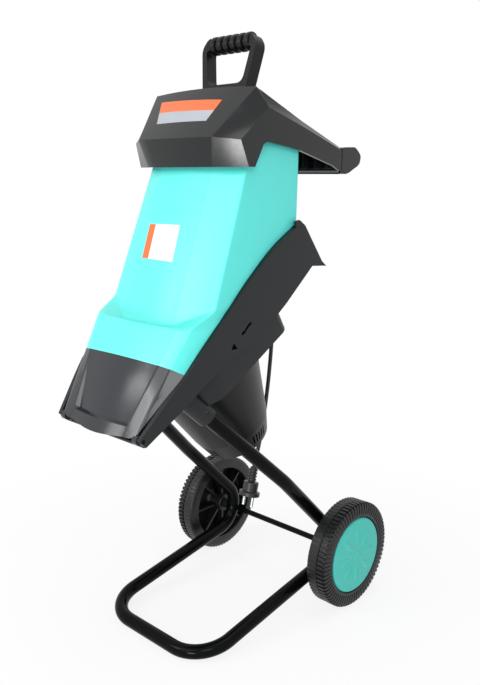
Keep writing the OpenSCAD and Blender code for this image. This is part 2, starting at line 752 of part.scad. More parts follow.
function hopper_ring(i, wall, face_wall) =
    i == 0 ? on_floor(skin(0, 0, 55, -191, 3, [top - 5.3, -173], [top - 2, -130], [top, -81], wall,
        face_wall)) :
    i == 1 ? skin(waist_z - wall, ledge_z - wall, 52, -293, 4, [low - 0.4, -268], [low, -215], [low, -97],
        wall, face_wall) :
    i == 2 ? skin(skirt_z - wall, skirt_z - wall, 87, -314, nose_bulge, [low - 8.5, -306],
        [low - 0.4, -272],
        [low, -98], wall, face_wall) :
    i == 3 ? skin(cheek_z, cheek_z, 74, -353, nose_bulge, [cheek_edge_x, -349.5], [low - 4, -333],
        [low, -104],
        wall, face_wall) :
    skin(nose_z, nose_z, 60, -nose_front, nose_bulge, [nose_edge_x, -395.5], [nose_edge_x + 4.2, -393.5],
        [low, -110],
        wall, face_wall);
nose_ring = 4;
module hopper_skin() {
    ring_loft(concat([for (i = [0 : nose_ring]) hopper_ring(i, 0, 0)],
        [for (i = [nose_ring : -1 : 0]) hopper_ring(i, hopper_wall, i > 2 ? nose_wall : hopper_wall)]));
}
module hopper_core() {
    rings = [for (i = [0 : nose_ring]) hopper_ring(i, 0, 0)];
    n = len(rings[0]);
    polyhedron(
        points = [for (ring = rings) each ring],
        faces = concat(
            [[for (j = [n - 1 : -1 : 0]) j]],
            [for (i = [0 : nose_ring - 1], j = [0 : n - 1])
                let (a = i * n, b = a + n, k = (j + 1) % n)
                each [[a + j, a + k, b + j], [a + k, b + k, b + j]]],
            [[for (j = [0 : n - 1]) nose_ring * n + j]]));
}
rim_reach = 240;
module above_rim() {
    on_deck() across(-rim_reach, rim_reach) polygon(concat([[-rim_reach, rim_line[0][1] + rim_gap]],
        [for (p = rim_curve) p + [0, rim_gap]],
        [[rim_reach, rim_line[rim_last][1] - 1 + rim_gap], [rim_reach, 2 * rim_reach],
            [-rim_reach, 2 * rim_reach]]));
}
seam_y = -345;
seam_z = 466;
seam_slope = 32;
module seam_half(up) {
    reach = 5 * rim_reach;
    from_axle() translate([0, seam_y, seam_z]) rotate([-seam_slope, 0, 0]) mirror([0, 0, up ? 0 : 1])
        translate([-reach / 2, -reach / 2, 0]) cube(reach);
}
module latch_tongue() {
    difference() {
        union() {
            on_end() translate([-tongue_half_w, -45, tongue_gap])
                cube([2 * tongue_half_w, 45 + tongue_drop, tongue_t]);
            on_deck() translate([1 - tongue_half_w, tray_end + 5, 133])
                cube([2 * tongue_half_w - 2, 16, 5.6]);
        }
        on_end() translate([0, 0, -1]) cylinder(r = stud_r + side_gap, h = 20);
        on_end() translate([-stud_r - side_gap, 0, -1]) cube([2 * (stud_r + side_gap), 60, 20]);
    }
}
module hopper() {
    color(turquoise) union() {
        intersection() {
            from_axle() hopper_skin();
            above_rim();
            seam_half(true);
        }
        latch_tongue();
    }
}
recess_plan = [[-57, -36], [57, -36], [73, 33], [-73, 33]];
recess_tilt = 5;
nose_face = [0, -367, 418.4];
nose_lean = 61.1;
recess_high = nose_face + recess_plan[2][1] * [0, cos(nose_lean), sin(nose_lean)];
module nose_recess() {
    difference() {
        translate(nose_face) rotate([nose_lean, 0, 0]) translate([0, 0, -nose_wall])
            linear_extrude(3 * nose_wall) polygon(recess_plan);
        translate(recess_high) rotate([recess_tilt, 0, 0]) translate(-recess_high) hopper_core();
    }
}
module discharge_nose() {
    color(glossy_dark) difference() {
        union() {
            intersection() {
                from_axle() hopper_skin();
                above_rim();
                seam_half(false);
            }
            both_sides() at_hinge() {
                bar_x(lug_r, lug_in, lug_out);
                translate([lug_in, 3, 0]) cube([6, 10, 15]);
            }
        }
        from_axle() nose_recess();
        at_hinge() bar_x(pin_r + run_fit, -deck_half_w, deck_half_w);
    }
}

// Hood: each ring runs round it at one level above or below the throat, from the bowed front over the
// corner facet to the rear
hood_rear = 22;
hood_bow = 3;
hw = hood_half_w;
function between(a, b, s) = a + (b - a) * s;
function mix(a, b, s) = [for (i = [0 : len(a) - 1]) between(a[i], b[i], s)];
function hood_ring(inner, outer, side, rear, rise = 0) = let (half = concat(
        [for (f = [0 : 0.25 : 0.75]) [inner[0] * f, inner[1] - hood_bow * (1 - f * f),
            inner[2] + rise * (1 - f * f)]],
        [for (s = [0 : 0.25 : 1]) between(inner, outer, s)],
        [side, rear]))
    concat([for (i = [len(half) - 1 : -1 : 1]) [-half[i][0], half[i][1], half[i][2]]], half);
module hood_shell() {
    w = hood_wall;
    back = hood_rear + 2;
    rim = hood_ring([101, -175, 57], [hw - 9, -168, 52], [hw - 9, -80, 16], [hw - 9, hood_rear, -22], 4);
    ridge = hood_ring([104, -178, 57], [hw - 1, -162, 30], [hw - 0.5, -80, 5], [hw, back, -29], 4);
    crease = hood_ring([77, -239, -11], [hw - 2.6, -217, -15], [hw - 1, -130, -17], [hw, back, -39]);
    foot = hood_ring([66, -228, -51], [hw + 1, -205, -51], [hw + 0.5, -130, -51], [hw, back, -61]);
    foot_in = hood_ring([64, -223.5, -51], [hw + 1 - w, -202, -51], [hw + 0.5 - w, -130, -51],
        [hw - w, back - w, -61]);
    crease_in = hood_ring([75, -234, -14], [hw - 2.6 - w, -214, -17], [hw - 1 - w, -130, -18],
        [hw - w, back - w, -39]);
    ridge_in = hood_ring([99.5, -172, 52], [hw - 1 - w, -160, 28], [hw - 0.5 - w, -80, 3],
        [hw - w, back - w, -29], 4);
    steps = [0.25, 0.5, 0.75];
    ring_loft(concat([rim, ridge], [for (s = steps) mix(ridge, crease, s)],
        [crease, foot, foot_in, crease_in],
        [for (s = steps) mix(crease_in, ridge_in, s)], [ridge_in]));
}
module side_arch() {
    across(hw - 14, hw + 10) polygon([[-196, -57], [-172, -20], [-164, -16], [-96, -26], [-12, -48],
        [8, -57], [8, -77],
        [-196, -77]]);
}
module rear_bar() {
    across(-hw - 0.6, hw + 0.6) polygon(eased_outline([[12, -20], [46, -19], [62, -32], [58, -46],
        [25, -61], [10, -56]], 6));
}
module hood_floor() {
    reach = (hood_rear - throat_y) / cos(feed_lean);
    plan = [[83, -80], [hw - 4, -52], [hw - 3, reach], [-hw + 3, reach], [-hw + 4, -52], [-83, -80]];
    on_feed() translate([0, 0, -floor_t]) linear_extrude(floor_t) polygon(plan);
    on_feed() translate([0, 0, -30]) linear_extrude(30)
        square([throat_w + 2 * hood_wall, throat_d + 2 * hood_wall], center = true);
}
module hood() {
    color(black) difference() {
        union() {
            from_axle() translate([0, 0, throat_z]) difference() {
                union() {
                    hood_shell();
                    rear_bar();
                }
                both_sides() side_arch();
            }
            hood_floor();
        }
        on_feed() translate([0, 0, -60]) linear_extrude(100) square([throat_w, throat_d], center = true);
    }
}

// Pusher: paddle, stop flange, neck, D handle with a round grip of finger lobes
paddle_wall = 4;
handle_low = 62;
handle_top = 143;
grip_r = handle_t / 2 + 0.5;
module pusher() {
    lobes = 7;
    grip_half = 42;
    pitch = 2 * grip_half / lobes;
    lobe_line = [[-1.4, 0], [-0.4, 0.08], [1.6, 0.25], [2.6, 0.4], [2.6, 0.6], [1.6, 0.75], [-0.4, 0.92]];
    grip_line = concat([for (i = [0 : lobes - 1]) for (p = lobe_line)
        [grip_r + p[0], (i + p[1]) * pitch - grip_half]], [[grip_r - 1.4, grip_half]]);
    neck_half = 43;
    top_half = 56;
    bar_w = 10;
    outer = [[-neck_half, handle_low - 10], [neck_half, handle_low - 10], [top_half, handle_top - 17],
        [top_half - 11, handle_top - 3], [0, handle_top], [11 - top_half, handle_top - 3],
            [-top_half, handle_top - 17]];
    inner = [[bar_w - neck_half - 3, handle_low + 8], [neck_half - bar_w + 3, handle_low + 8],
        [top_half - bar_w, handle_top - 20], [bar_w - top_half, handle_top - 20]];
    color(black) on_feed() {
        difference() {
            translate([-paddle_w / 2, -paddle_t / 2, -paddle_l]) cube([paddle_w, paddle_t, paddle_l + 1]);
            translate([-paddle_w / 2 + paddle_wall, -paddle_t / 2 + paddle_wall, -paddle_l - 1])
                cube([paddle_w - 2 * paddle_wall, paddle_t - 2 * paddle_wall, paddle_l + 1]);
        }
        translate([-throat_w / 2 - flange_margin, -throat_d / 2 - flange_margin, seat_gap])
            cube([throat_w + 2 * flange_margin, throat_d + 2 * flange_margin, flange_t]);
        translate([1 - neck_half, -handle_t / 2, flange_t])
            cube([2 * neck_half - 2, handle_t, handle_low - flange_t - 4]);
        difference() {
            translate([0, handle_t / 2, 0]) rotate([90, 0, 0]) linear_extrude(handle_t) difference() {
                polygon(eased_outline(outer, 8));
                polygon(eased_outline(inner, 14));
            }
            translate([1 - grip_half, -handle_t, handle_top - 2 * grip_r])
                cube([2 * grip_half - 2, 2 * handle_t, 4 * grip_r]);
        }
        translate([0, 0, handle_top - grip_r]) rotate([0, 90, 0]) rotate_extrude()
            polygon(concat([[0, -grip_half]], grip_line, [[0, grip_half]]));
    }
}

// Locking knob on the rear end wall
module locking_knob() {
    lobes = 8;
    knob_t = 22;
    color(black) on_end() translate([0, 0, knob_seat]) difference() {
        cylinder(r = knob_r, h = knob_t);
        for (i = [0 : lobes - 1]) rotate(i * 360 / lobes) translate([knob_r + 4, 0, 5])
            cylinder(r = 8, h = knob_t);
        translate([0, 0, -1]) cylinder(r = stud_r + run_fit, h = 15);
    }
}
module knob_stud() {
    depth = 16;
    color(bright_steel) on_end() translate([0, 0, -depth])
        cylinder(r = stud_r, h = depth + knob_seat + 14);
}
module interlock_switch() {
    color("#202124") on_deck() translate([-14, tray_end - 9, stud_k - 10]) cube([28, 9, 22]);
}

// Switch plate, buttons and lead
module on_belly_rear(x, k) { translate([x, belly_rear, k]) rotate([-90, 0, 0]) children(); }
module switch_pocket() {
    on_belly_rear(switch_x, switch_k) translate([0, 0, -14])
        linear_extrude(20) square([2 * button_s + 12, button_s + 4], center = true);
    on_belly_rear(reset_x, switch_k) translate([0, 0, -12]) cylinder(r = reset_r + button_gap, h = 20);
}
module at_button(side) {
    on_deck() on_belly_rear(switch_x + side * (button_s / 2 + 4), switch_k) children();
}
module switch_plate() {
    color(black) difference() {
        on_deck() on_belly_rear(switch_x, switch_k) linear_extrude(plate_t)
            round_plate(-switch_half_w, switch_half_w, -switch_half_h, switch_half_h, 5);
        for (side = [-1, 1]) at_button(side) translate([0, 0, -1]) linear_extrude(plate_t + 2)
            square(button_s + 2 * button_gap, center = true);
    }
}
module push_button() {
    translate([0, 0, -7]) linear_extrude(7 + button_h) square(button_s, center = true);
}
module start_button() { color("#2f9e4f") at_button(1) push_button(); }
module stop_button() { color("#c8372d") at_button(-1) push_button(); }
module reset_button() {
    color("#202124") on_deck() on_belly_rear(reset_x, switch_k) translate([0, 0, -6])
        cylinder(r = reset_r, h = 12);
}
module cord_strain_relief() {
    ribs = 5;
    rib_pitch = (relief_l - 8) / ribs;
    color(black) on_deck() on_belly_rear(relief_x, relief_k) rotate_extrude() {
        square([relief_r + 4, plate_t]);
        polygon([[0, 0], [relief_r - 2, 0], [relief_tip_r, relief_l + plate_t], [0, relief_l + plate_t]]);
        for (i = [0 : ribs - 1]) translate([0, plate_t + 3 + i * rib_pitch])
            square([relief_r - i * 0.4, rib_pitch * 0.55]);
    }
}

// Lead: a tube swept along its route, ring by ring
deck_out = [0, cos(deck_tilt), sin(deck_tilt)];
plug_up = [0, sin(plug_lean), cos(plug_lean)];
lead_route = concat([relief_tip, relief_tip + deck_out * lead_d], lead_points,
    [plug_top + plug_up * lead_d, plug_top]);
lead_sides = 10;
function lead_dir(i) = i == 0 ? deck_out : i == len(lead_route) - 1 ? -plug_up :
    unit(unit(lead_route[i + 1] - lead_route[i]) + unit(lead_route[i] - lead_route[i - 1]));
function lead_ring(i) = let (d = lead_dir(i), side = [1, 0, 0], up = cross(d, side))
    [for (j = [0 : lead_sides - 1]) let (a = j * 360 / lead_sides)
        lead_route[i] + (side * cos(a) + up * sin(a)) * lead_d / 2];
module power_cord() {
    last = len(lead_route) - 1;
    color(steel_black) polyhedron(
        points = [for (i = [0 : last]) each lead_ring(i)],
        faces = concat(
            [[for (j = [0 : lead_sides - 1]) j]],
            [for (i = [0 : last - 1], j = [0 : lead_sides - 1])
                let (a = i * lead_sides, b = a + lead_sides, k = (j + 1) % lead_sides)
                each [[a + j, b + j, a + k], [a + k, b + j, b + k]]],
            [[for (j = [lead_sides - 1 : -1 : 0]) last * lead_sides + j]]));
}
module power_plug() {
    ribs = 4;
    color(steel_black) on_plug() {
        rotate_extrude() {
            translate([0, -plug_boot_l]) square([6, plug_boot_l]);
            for (i = [0 : ribs - 1]) translate([0, -plug_boot_l + 3 + i * 5.5]) square([7.6, 3]);
            translate([0, -plug_boot_l - plug_body_l + 7]) square([plug_r - 5, plug_body_l - 7]);
            translate([0, -plug_boot_l - plug_body_l]) square([plug_r, 7]);
        }
    }
}
module plug_pins() {
    color(bright_steel) on_plug() for (x = [-0.5, 0.5])
        translate([x * plug_pin_pitch, 0, -plug_boot_l - plug_body_l - plug_pin_l])
        cylinder(r = plug_pin_r, h = plug_pin_l);
}

frame_tube();
axle();
wheel_spacers();
axle_retainers();
right_wheel();
left_wheel();
right_hub_cap();
left_hub_cap();
base_housing();
leg_screws();
hinge_pins();
deflector_plate();
motor_housing();
motor_end_cap();
housing_screws();
motor_stator();
field_coils();
brush_holders();
carbon_brushes();
upper_bearing();
lower_bearing();
motor_shaft();
armature();
commutator();
cooling_fan();
cutter_disc();
knives();
knife_screws();
disc_washer();
disc_bolt();
hopper();
discharge_nose();
hood();
pusher();
locking_knob();
knob_stud();
interlock_switch();
switch_plate();
start_button();
stop_button();
reset_button();
cord_strain_relief();
power_cord();
power_plug();
plug_pins();
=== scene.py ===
"""Looks of a wheeled electric garden shredder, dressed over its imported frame.

Lengths in the classes are millimetres in the frame's own axes: X right, Y back, Z up, origin on the floor.
"""
import json
import logging
import math
from dataclasses import dataclass
from enum import Enum
from typing import Any, Sequence

import bmesh
import bpy
import numpy as np
from mathutils import Matrix, Vector

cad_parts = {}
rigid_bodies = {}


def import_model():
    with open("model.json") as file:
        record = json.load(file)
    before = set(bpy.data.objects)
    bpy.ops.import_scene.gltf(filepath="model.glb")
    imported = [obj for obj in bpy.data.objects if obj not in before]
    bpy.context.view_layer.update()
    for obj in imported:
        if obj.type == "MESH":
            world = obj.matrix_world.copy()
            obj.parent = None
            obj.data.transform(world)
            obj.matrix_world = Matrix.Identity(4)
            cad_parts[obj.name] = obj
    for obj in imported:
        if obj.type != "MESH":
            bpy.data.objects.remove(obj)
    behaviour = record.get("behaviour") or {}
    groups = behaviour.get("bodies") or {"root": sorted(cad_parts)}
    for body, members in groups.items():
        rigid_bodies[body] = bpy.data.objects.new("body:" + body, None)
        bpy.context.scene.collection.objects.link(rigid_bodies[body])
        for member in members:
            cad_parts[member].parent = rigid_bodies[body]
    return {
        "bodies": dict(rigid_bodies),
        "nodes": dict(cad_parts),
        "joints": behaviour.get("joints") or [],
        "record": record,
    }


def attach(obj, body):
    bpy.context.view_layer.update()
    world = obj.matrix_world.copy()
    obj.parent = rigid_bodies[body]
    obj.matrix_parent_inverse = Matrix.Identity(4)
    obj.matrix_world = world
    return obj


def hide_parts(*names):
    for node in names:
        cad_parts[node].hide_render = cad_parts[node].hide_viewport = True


LOG = logging.getLogger("shredder")
MM = 0.001
MERGE = 0.01 * MM
IMAGE_SIZE = (480, 685)
WHITE = (1, 1, 1, 1)
Flat = tuple[float, float]
Point = tuple[float, float, float]
Piece = bpy.types.Object
Tree = bpy.types.NodeTree
Socket = bpy.types.NodeSocket


def linear(hex_colour: str) -> tuple[float, float, float, float]:
    """Turns an sRGB hex colour into linear RGBA.

    Args:
        hex_colour: Six hex digits after a hash sign.

    Returns:
        Linear red, green, blue and an alpha of one.
    """
    parts = [int(hex_colour[i:i + 2], 16) / 255 for i in (1, 3, 5)]
    r, g, b = (c / 12.92 if c <= 0.04045 else ((c + 0.055) / 1.055) ** 2.4 for c in parts)
    return r, g, b, 1.0


def feed(tree: Tree, node: bpy.types.Node, inputs: dict[int | str, Any]) -> None:
    """Sets or links inputs of a node.

    Args:
        tree: Node tree of the node.
        node: The node.
        inputs: Values or output sockets by input name or index.
    """
    for key, value in inputs.items():
        if isinstance(value, Socket):
            tree.links.new(value, node.inputs[key])
        else:
            node.inputs[key].default_value = value


def add_node(tree: Tree, kind: str, settings: dict[str, Any] | None = None,
             inputs: dict[int | str, Any] | None = None) -> bpy.types.Node:
    """Adds one node with its settings, values and links.

    Args:
        tree: Node tree that takes the node.
        kind: Node type name.
        settings: Attributes set on the node.
        inputs: Values or output sockets by input name or index.

    Returns:
        The new node.
    """
    node = tree.nodes.new(kind)
    for name, value in (settings or {}).items():
        setattr(node, name, value)
    feed(tree, node, inputs or {})
    return node


class Pattern(Enum):
    """How a finish breaks up its surface."""

    GRAIN = "moulded grain"
    PEEL = "orange peel"
    STREAK = "grinding streaks"
    LAYERS = "stacked layers"


@dataclass(frozen=True)
class Finish:
    """One real surface: what it is made of and how that surface was made.

    Attributes:
        name: Material name, for the real material and its process.
        colour: sRGB hex colour.
        roughness: Middle roughness.
        pattern: How the surface is broken up.
        pattern_mm: Size of the pattern's grain, peel, streaks or layers.
        bump: Bump strength of the pattern.
        mottle: Share by which the colour drifts over the surface.
        drift_mm: Size of the colour drift.
        metallic: Zero for plastics and paint, one for bare metal.
        coat: Weight of a clear glossy layer on top.
        specular: Strength of the reflection, one half for a common plastic.
        stretch: How the pattern is squeezed along X, Y and Z.
    """

    name: str
    colour: str
    roughness: float
    pattern: Pattern = Pattern.GRAIN
    pattern_mm: float = 1.2
    bump: float = 0.1
    mottle: float = 0.06
    drift_mm: float = 60.0
    metallic: float = 0.0
    coat: float = 0.0
    specular: float = 0.5
    stretch: Point = (1.0, 1.0, 1.0)
    COAT_ROUGHNESS = 0.06
    GLOSS_RANGE = (0.88, 1.12)
    BUMP_SHARE = 0.25

    def material(self) -> bpy.types.Material:
        """Returns the finish's material, made on first use."""
        return bpy.data.materials.get(self.name) or self._build()

    def _build(self) -> bpy.types.Material:
        """Builds and returns the node material."""
        material = bpy.data.materials.new(self.name)
        material.use_nodes = True
        tree = material.node_tree
        coords = add_node(tree, "ShaderNodeTexCoord").outputs["Object"]
        spread = add_node(tree, "ShaderNodeMapping", None, {"Vector": coords, "Scale": self.stretch})
        relief = self._relief(tree, spread.outputs[0])
        drift = add_node(tree, "ShaderNodeTexNoise", None,
                         {"Vector": coords, "Scale": 1 / (self.drift_mm * MM), "Detail": 4.0})
        dark, light = ([min(1.0, c * f) for c in linear(self.colour)[:3]] + [1.0]
                       for f in (1 - self.mottle, 1 + self.mottle))
        tint = add_node(tree, "ShaderNodeMix", {"data_type": "RGBA"},
                        {0: drift.outputs["Fac"], 6: dark, 7: light})
        low, high = (self.roughness * f for f in self.GLOSS_RANGE)
        gloss = add_node(tree, "ShaderNodeMapRange", None, {0: relief, 3: low, 4: high})
        depth = self.pattern_mm * MM * self.BUMP_SHARE
        bump = add_node(tree, "ShaderNodeBump", None,
                        {"Strength": self.bump, "Distance": depth, "Height": relief})
        feed(tree, tree.nodes["Principled BSDF"], {
            "Metallic": self.metallic, "Specular IOR Level": self.specular, "Coat Weight": self.coat,
            "Coat Roughness": self.COAT_ROUGHNESS, "Base Color": tint.outputs[2],
            "Roughness": gloss.outputs[0], "Normal": bump.outputs[0]})
        return material

    def _relief(self, tree: Tree, vector: Socket) -> Socket:
        """Adds the pattern's height.

        Args:
            tree: The material's node tree.
            vector: Object coordinates after the finish's stretch.

        Returns:
            The height, from nought to one.
        """
        scale = 1 / (self.pattern_mm * MM)
        if self.pattern is Pattern.PEEL:
            cells = add_node(tree, "ShaderNodeTexVoronoi", {"feature": "SMOOTH_F1"},
                             {"Vector": vector, "Scale": scale, "Smoothness": 1.0})
            return cells.outputs["Distance"]
        if self.pattern is Pattern.LAYERS:
            bands = add_node(tree, "ShaderNodeTexWave", {"bands_direction": "Z"},
                             {"Vector": vector, "Scale": scale / 20, "Distortion": 0.4})
            return bands.outputs["Fac"]
        detail = 3.0 if self.pattern is Pattern.GRAIN else 6.0
        return add_node(tree, "ShaderNodeTexNoise", None,
                        {"Vector": vector, "Scale": scale, "Detail": detail}).outputs["Fac"]


class Finishes:
    """Every finish on the shredder, named for the material and its process, and the painted shade laid in its
    pressed marks.
    """

    # Moulded polypropylene: charcoal black, a soft sheen broken by a fine spark-eroded grain
    BLACK = Finish("Moulded black polypropylene", "#1a1c1e", 0.4, Pattern.GRAIN, 1.4, 0.1, 0.08,
                   specular=0.27)
    # Moulded ABS, lightly polished: near black, so that its facets part into dark and bright ones
    HOOD = Finish("Moulded black ABS", "#0d0f11", 0.22, Pattern.PEEL, 4.0, 0.012, 0.08, specular=0.42)
    # Moulded nylon of handle and motor: deep black, with a weaker sheen than the housings
    NYLON = Finish("Moulded black nylon", "#0c0d0e", 0.36, mottle=0.08, specular=0.22)
    # Moulded ABS in colour: even and smooth, with a broad soft highlight
    TURQUOISE = Finish("Moulded turquoise ABS", "#5ce4dc", 0.34, Pattern.PEEL, 3.0, 0.03, 0.03, 120.0)
    # Moulded polypropylene in colour: a shade deeper and duller than the hopper's ABS
    CAP = Finish("Moulded turquoise polypropylene", "#3ac5b9", 0.42, Pattern.PEEL, 2.0, 0.05, 0.03, 40.0)
    # Polished ABS: dark and mirror-smooth, so that its facets catch the lamps as clean strips
    POLISHED = Finish("Polished black ABS", "#22262a", 0.15, Pattern.PEEL, 5.0, 0.01, 0.05, 80.0,
                      specular=0.45)
    # Powder coat on steel tube: deep gloss black with a faint orange peel
    POWDER = Finish("Gloss black powder coat", "#070809", 0.15, Pattern.PEEL, 2.0, 0.05, 0.1, 90.0,
                    specular=0.07)
    # Moulded wheel compound: black with dusty patches and a sheen along its edges
    TREAD = Finish("Moulded black wheel plastic", "#131416", 0.4, Pattern.GRAIN, 1.6, 0.25, 0.14, 18.0,
                   specular=0.4)
    # Bright zinc plate: pale grey metal with cloudy patches
    ZINC = Finish("Bright zinc plated steel", "#b9bcbf", 0.3, Pattern.GRAIN, 1.0, 0.05, 0.1, 9.0, 1.0)
    # Ground tool steel: bright, with fine grinding lines drawn coarse enough to show
    GROUND = Finish("Ground tool steel", "#cfd2d4", 0.24, Pattern.STREAK, 1.5, 0.1, 0.06, 12.0, 1.0,
                    stretch=(0.1, 1.0, 1.0))
    # Black oxide on fasteners: dark oily metal
    OXIDE = Finish("Black oxide steel", "#3c3e40", 0.36, Pattern.GRAIN, 0.8, 0.06, 0.12, 6.0, 1.0)
    # Punched lamination stack: dull steel with layers drawn wider than the real half millimetre
    LAMINATION = Finish("Stacked lamination steel", "#8b8e91", 0.42, Pattern.LAYERS, 2.0, 0.3, 0.08, 10.0,
                        1.0)
    # Enamelled copper wire: warm metal in close turns
    COPPER = Finish("Enamelled copper wire", "#b8693a", 0.3, Pattern.LAYERS, 1.6, 0.5, 0.1, 8.0, 1.0)
    BRASS = Finish("Pressed brass", "#c9a24c", 0.3, Pattern.GRAIN, 1.0, 0.05, 0.08, 8.0, 1.0)
    # Pressed carbon: dull dark grey
    CARBON = Finish("Pressed carbon", "#303234", 0.7, Pattern.GRAIN, 0.6, 0.2, 0.1, 5.0)
    # Extruded PVC sheath: dull black with a slight sheen
    SHEATH = Finish("Extruded black PVC sheath", "#17181a", 0.42, Pattern.GRAIN, 1.5, 0.08, 0.08, 15.0)
    GREEN = Finish("Moulded green ABS", "#2f9e4f", 0.3, Pattern.PEEL, 2.0, 0.03, 0.04, 20.0)
    RED = Finish("Moulded red ABS", "#c8372d", 0.3, Pattern.PEEL, 2.0, 0.03, 0.04, 20.0)
    # Printed label film: plain satin colour with a faint coat
    LABEL = Finish("Printed white label film", "#f2f3f3", 0.35, Pattern.PEEL, 4.0, 0.01, 0.02, 30.0,
                   coat=0.2)
    ORANGE = Finish("Printed orange label film", "#f0672a", 0.35, Pattern.PEEL, 4.0, 0.01, 0.03, 30.0,
                    coat=0.2)
    # Brushed foil: pale grey with fine lines along the badge
    SILVER = Finish("Brushed silver foil", "#b9bec6", 0.38, Pattern.STREAK, 1.5, 0.05, 0.05, 20.0, 0.6,
                    stretch=(0.08, 1.0, 1.0))
    # Pressed marks: painted shade, a near-black plate without reflection where the marks' hollows lie in
    # shade
    SHADOW = Finish("Painted shade in pressed marks", "#050506", 0.8, mottle=0.02, specular=0.0)


FINISH_OF_SLOT: dict[str, Finish] = {
    "black_moulding": Finishes.BLACK,
    "black_gloss_moulding": Finishes.POLISHED,
    "turquoise_moulding": Finishes.TURQUOISE,
    "black_enamel": Finishes.POWDER,
    "wheel_plastic": Finishes.TREAD,
    "zinc_steel": Finishes.ZINC,
    "tool_steel": Finishes.GROUND,
    "dark_steel": Finishes.OXIDE,
    "lamination_steel": Finishes.LAMINATION,
    "copper": Finishes.COPPER,
    "brass": Finishes.BRASS,
    "carbon": Finishes.CARBON,
    "cord_rubber": Finishes.SHEATH,
    "green_plastic": Finishes.GREEN,
    "red_plastic": Finishes.RED,
}
FINISH_OF_NODE = dict.fromkeys(("motor_housing", "motor_end_cap", "pusher"), Finishes.NYLON)


def linked(name: str, data: bpy.types.ID) -> Piece:
    """Puts data into the scene as an object.

    Args:
        name: Name of the object.
        data: Its mesh, curve, camera or lamp.

    Returns:
        The object.
    """
    piece = bpy.data.objects.new(name, data)
    bpy.context.scene.collection.objects.link(piece)
    return piece


def mesh_piece(name: str, points: Sequence[Sequence[float]], faces: Sequence[Sequence[int]]) -> Piece:
    """Makes a piece from millimetre points.

    Args:
        name: Name of the piece.
        points: Points in millimetres.
        faces: Corner numbers of each face.

    Returns:
        The piece.
    """
    mesh = bpy.data.meshes.new(name)
    mesh.from_pydata((np.asarray(points, float) * MM).tolist(), [], [list(f) for f in faces])
    mesh.update()
    return linked(name, mesh)


def soften(piece: Piece, edge_mm: float, segments: int = 2, angle: float = 35.0, flat: bool = True) -> None:
    """Rounds a piece's sharp edges and shades it smooth between them.

    Args:
        piece: The piece.
        edge_mm: Width of the rounded edges, or nought for none.
        segments: Steps round an edge.
        angle: Edges sharper than this many degrees are rounded.
        flat: Keeps the faces beside the rounded edges flat.
    """
    mesh = piece.data
    mesh.polygons.foreach_set("use_smooth", [True] * len(mesh.polygons))
    mesh.set_sharp_from_angle(angle=math.radians(angle))
    if edge_mm:
        bevel = piece.modifiers.new("Edge", "BEVEL")
        bevel.width = edge_mm * MM
        bevel.segments = segments
        bevel.limit_method = "ANGLE"
        bevel.angle_limit = math.radians(angle)
        bevel.harden_normals = flat


class Model:
    """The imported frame, with the body and slot of every node."""

    FLAT_ANGLE = math.radians(0.6)

    def __init__(self, frame: dict[str, Any]) -> None:
        """Reads the frame.
        """
        record = frame["record"]
        self.nodes: dict[str, Piece] = frame["nodes"]
        self.slot_of = {s["node"]: s["material_slot"] for s in record["subparts"]}
        self.body_of = {n: body for body, names in record["behaviour"]["bodies"].items() for n in names}
        self.dressed: set[str] = set()

    def stand_for(self, piece: Piece, node: str, finish: Finish | None = None) -> None:
        """Makes a piece stand for one node, on its body and in its slot.

        Args:
            piece: The finished piece.
            node: The node that it replaces.
            finish: The piece's finish, or the one of the node or of its slot.
        """
        self.add(piece, self.body_of[node], self.slot_of[node], finish or FINISH_OF_NODE.get(node))
        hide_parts(node)
        self.dressed.add(node)

    def add(self, piece: Piece, body: str, slot: str, finish: Finish | None = None) -> None:
        """Puts a further piece on a body.

        Args:
            piece: The finished piece.
            body: The body that carries it.
            slot: The record's material slot.
            finish: The piece's finish, or the one of the slot.
        """
        if not piece.data.materials:
            piece.data.materials.append((finish or FINISH_OF_SLOT[slot]).material())
        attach(piece, body)
        LOG.info("%s rides on %s", piece.name, body)

    def edged_copy(self, node: str, edge_mm: float, segments: int = 2, angle: float = 35.0,
                   finish: Finish | None = None, flat: bool = True) -> Piece:
        """Stands a copy of a node's solid with softened edges for the node.

        Args:
            node: The node.
            edge_mm: Width of the softened edges.
            segments: Steps round a softened edge.
            angle: Edges sharper than this many degrees are softened.
            finish: The copy's finish, or the one of the node or of its slot.
            flat: Keeps the faces beside the softened edges flat.

        Returns:
            The copy.
        """
        mesh = self.nodes[node].data.copy()
        mesh.materials.clear()
        if mesh.has_custom_normals:
            mesh.attributes.remove(mesh.attributes["custom_normal"])
        piece = linked(f"{node}_moulded", mesh)
        form = bmesh.new()
        form.from_mesh(mesh)
        bmesh.ops.remove_doubles(form, verts=form.verts, dist=MERGE)
        bmesh.ops.dissolve_limit(form, angle_limit=self.FLAT_ANGLE, verts=form.verts, edges=form.edges)
        form.to_mesh(mesh)
        form.free()
        soften(piece, edge_mm, segments, angle, flat)
        self.stand_for(piece, node, finish)
        return piece


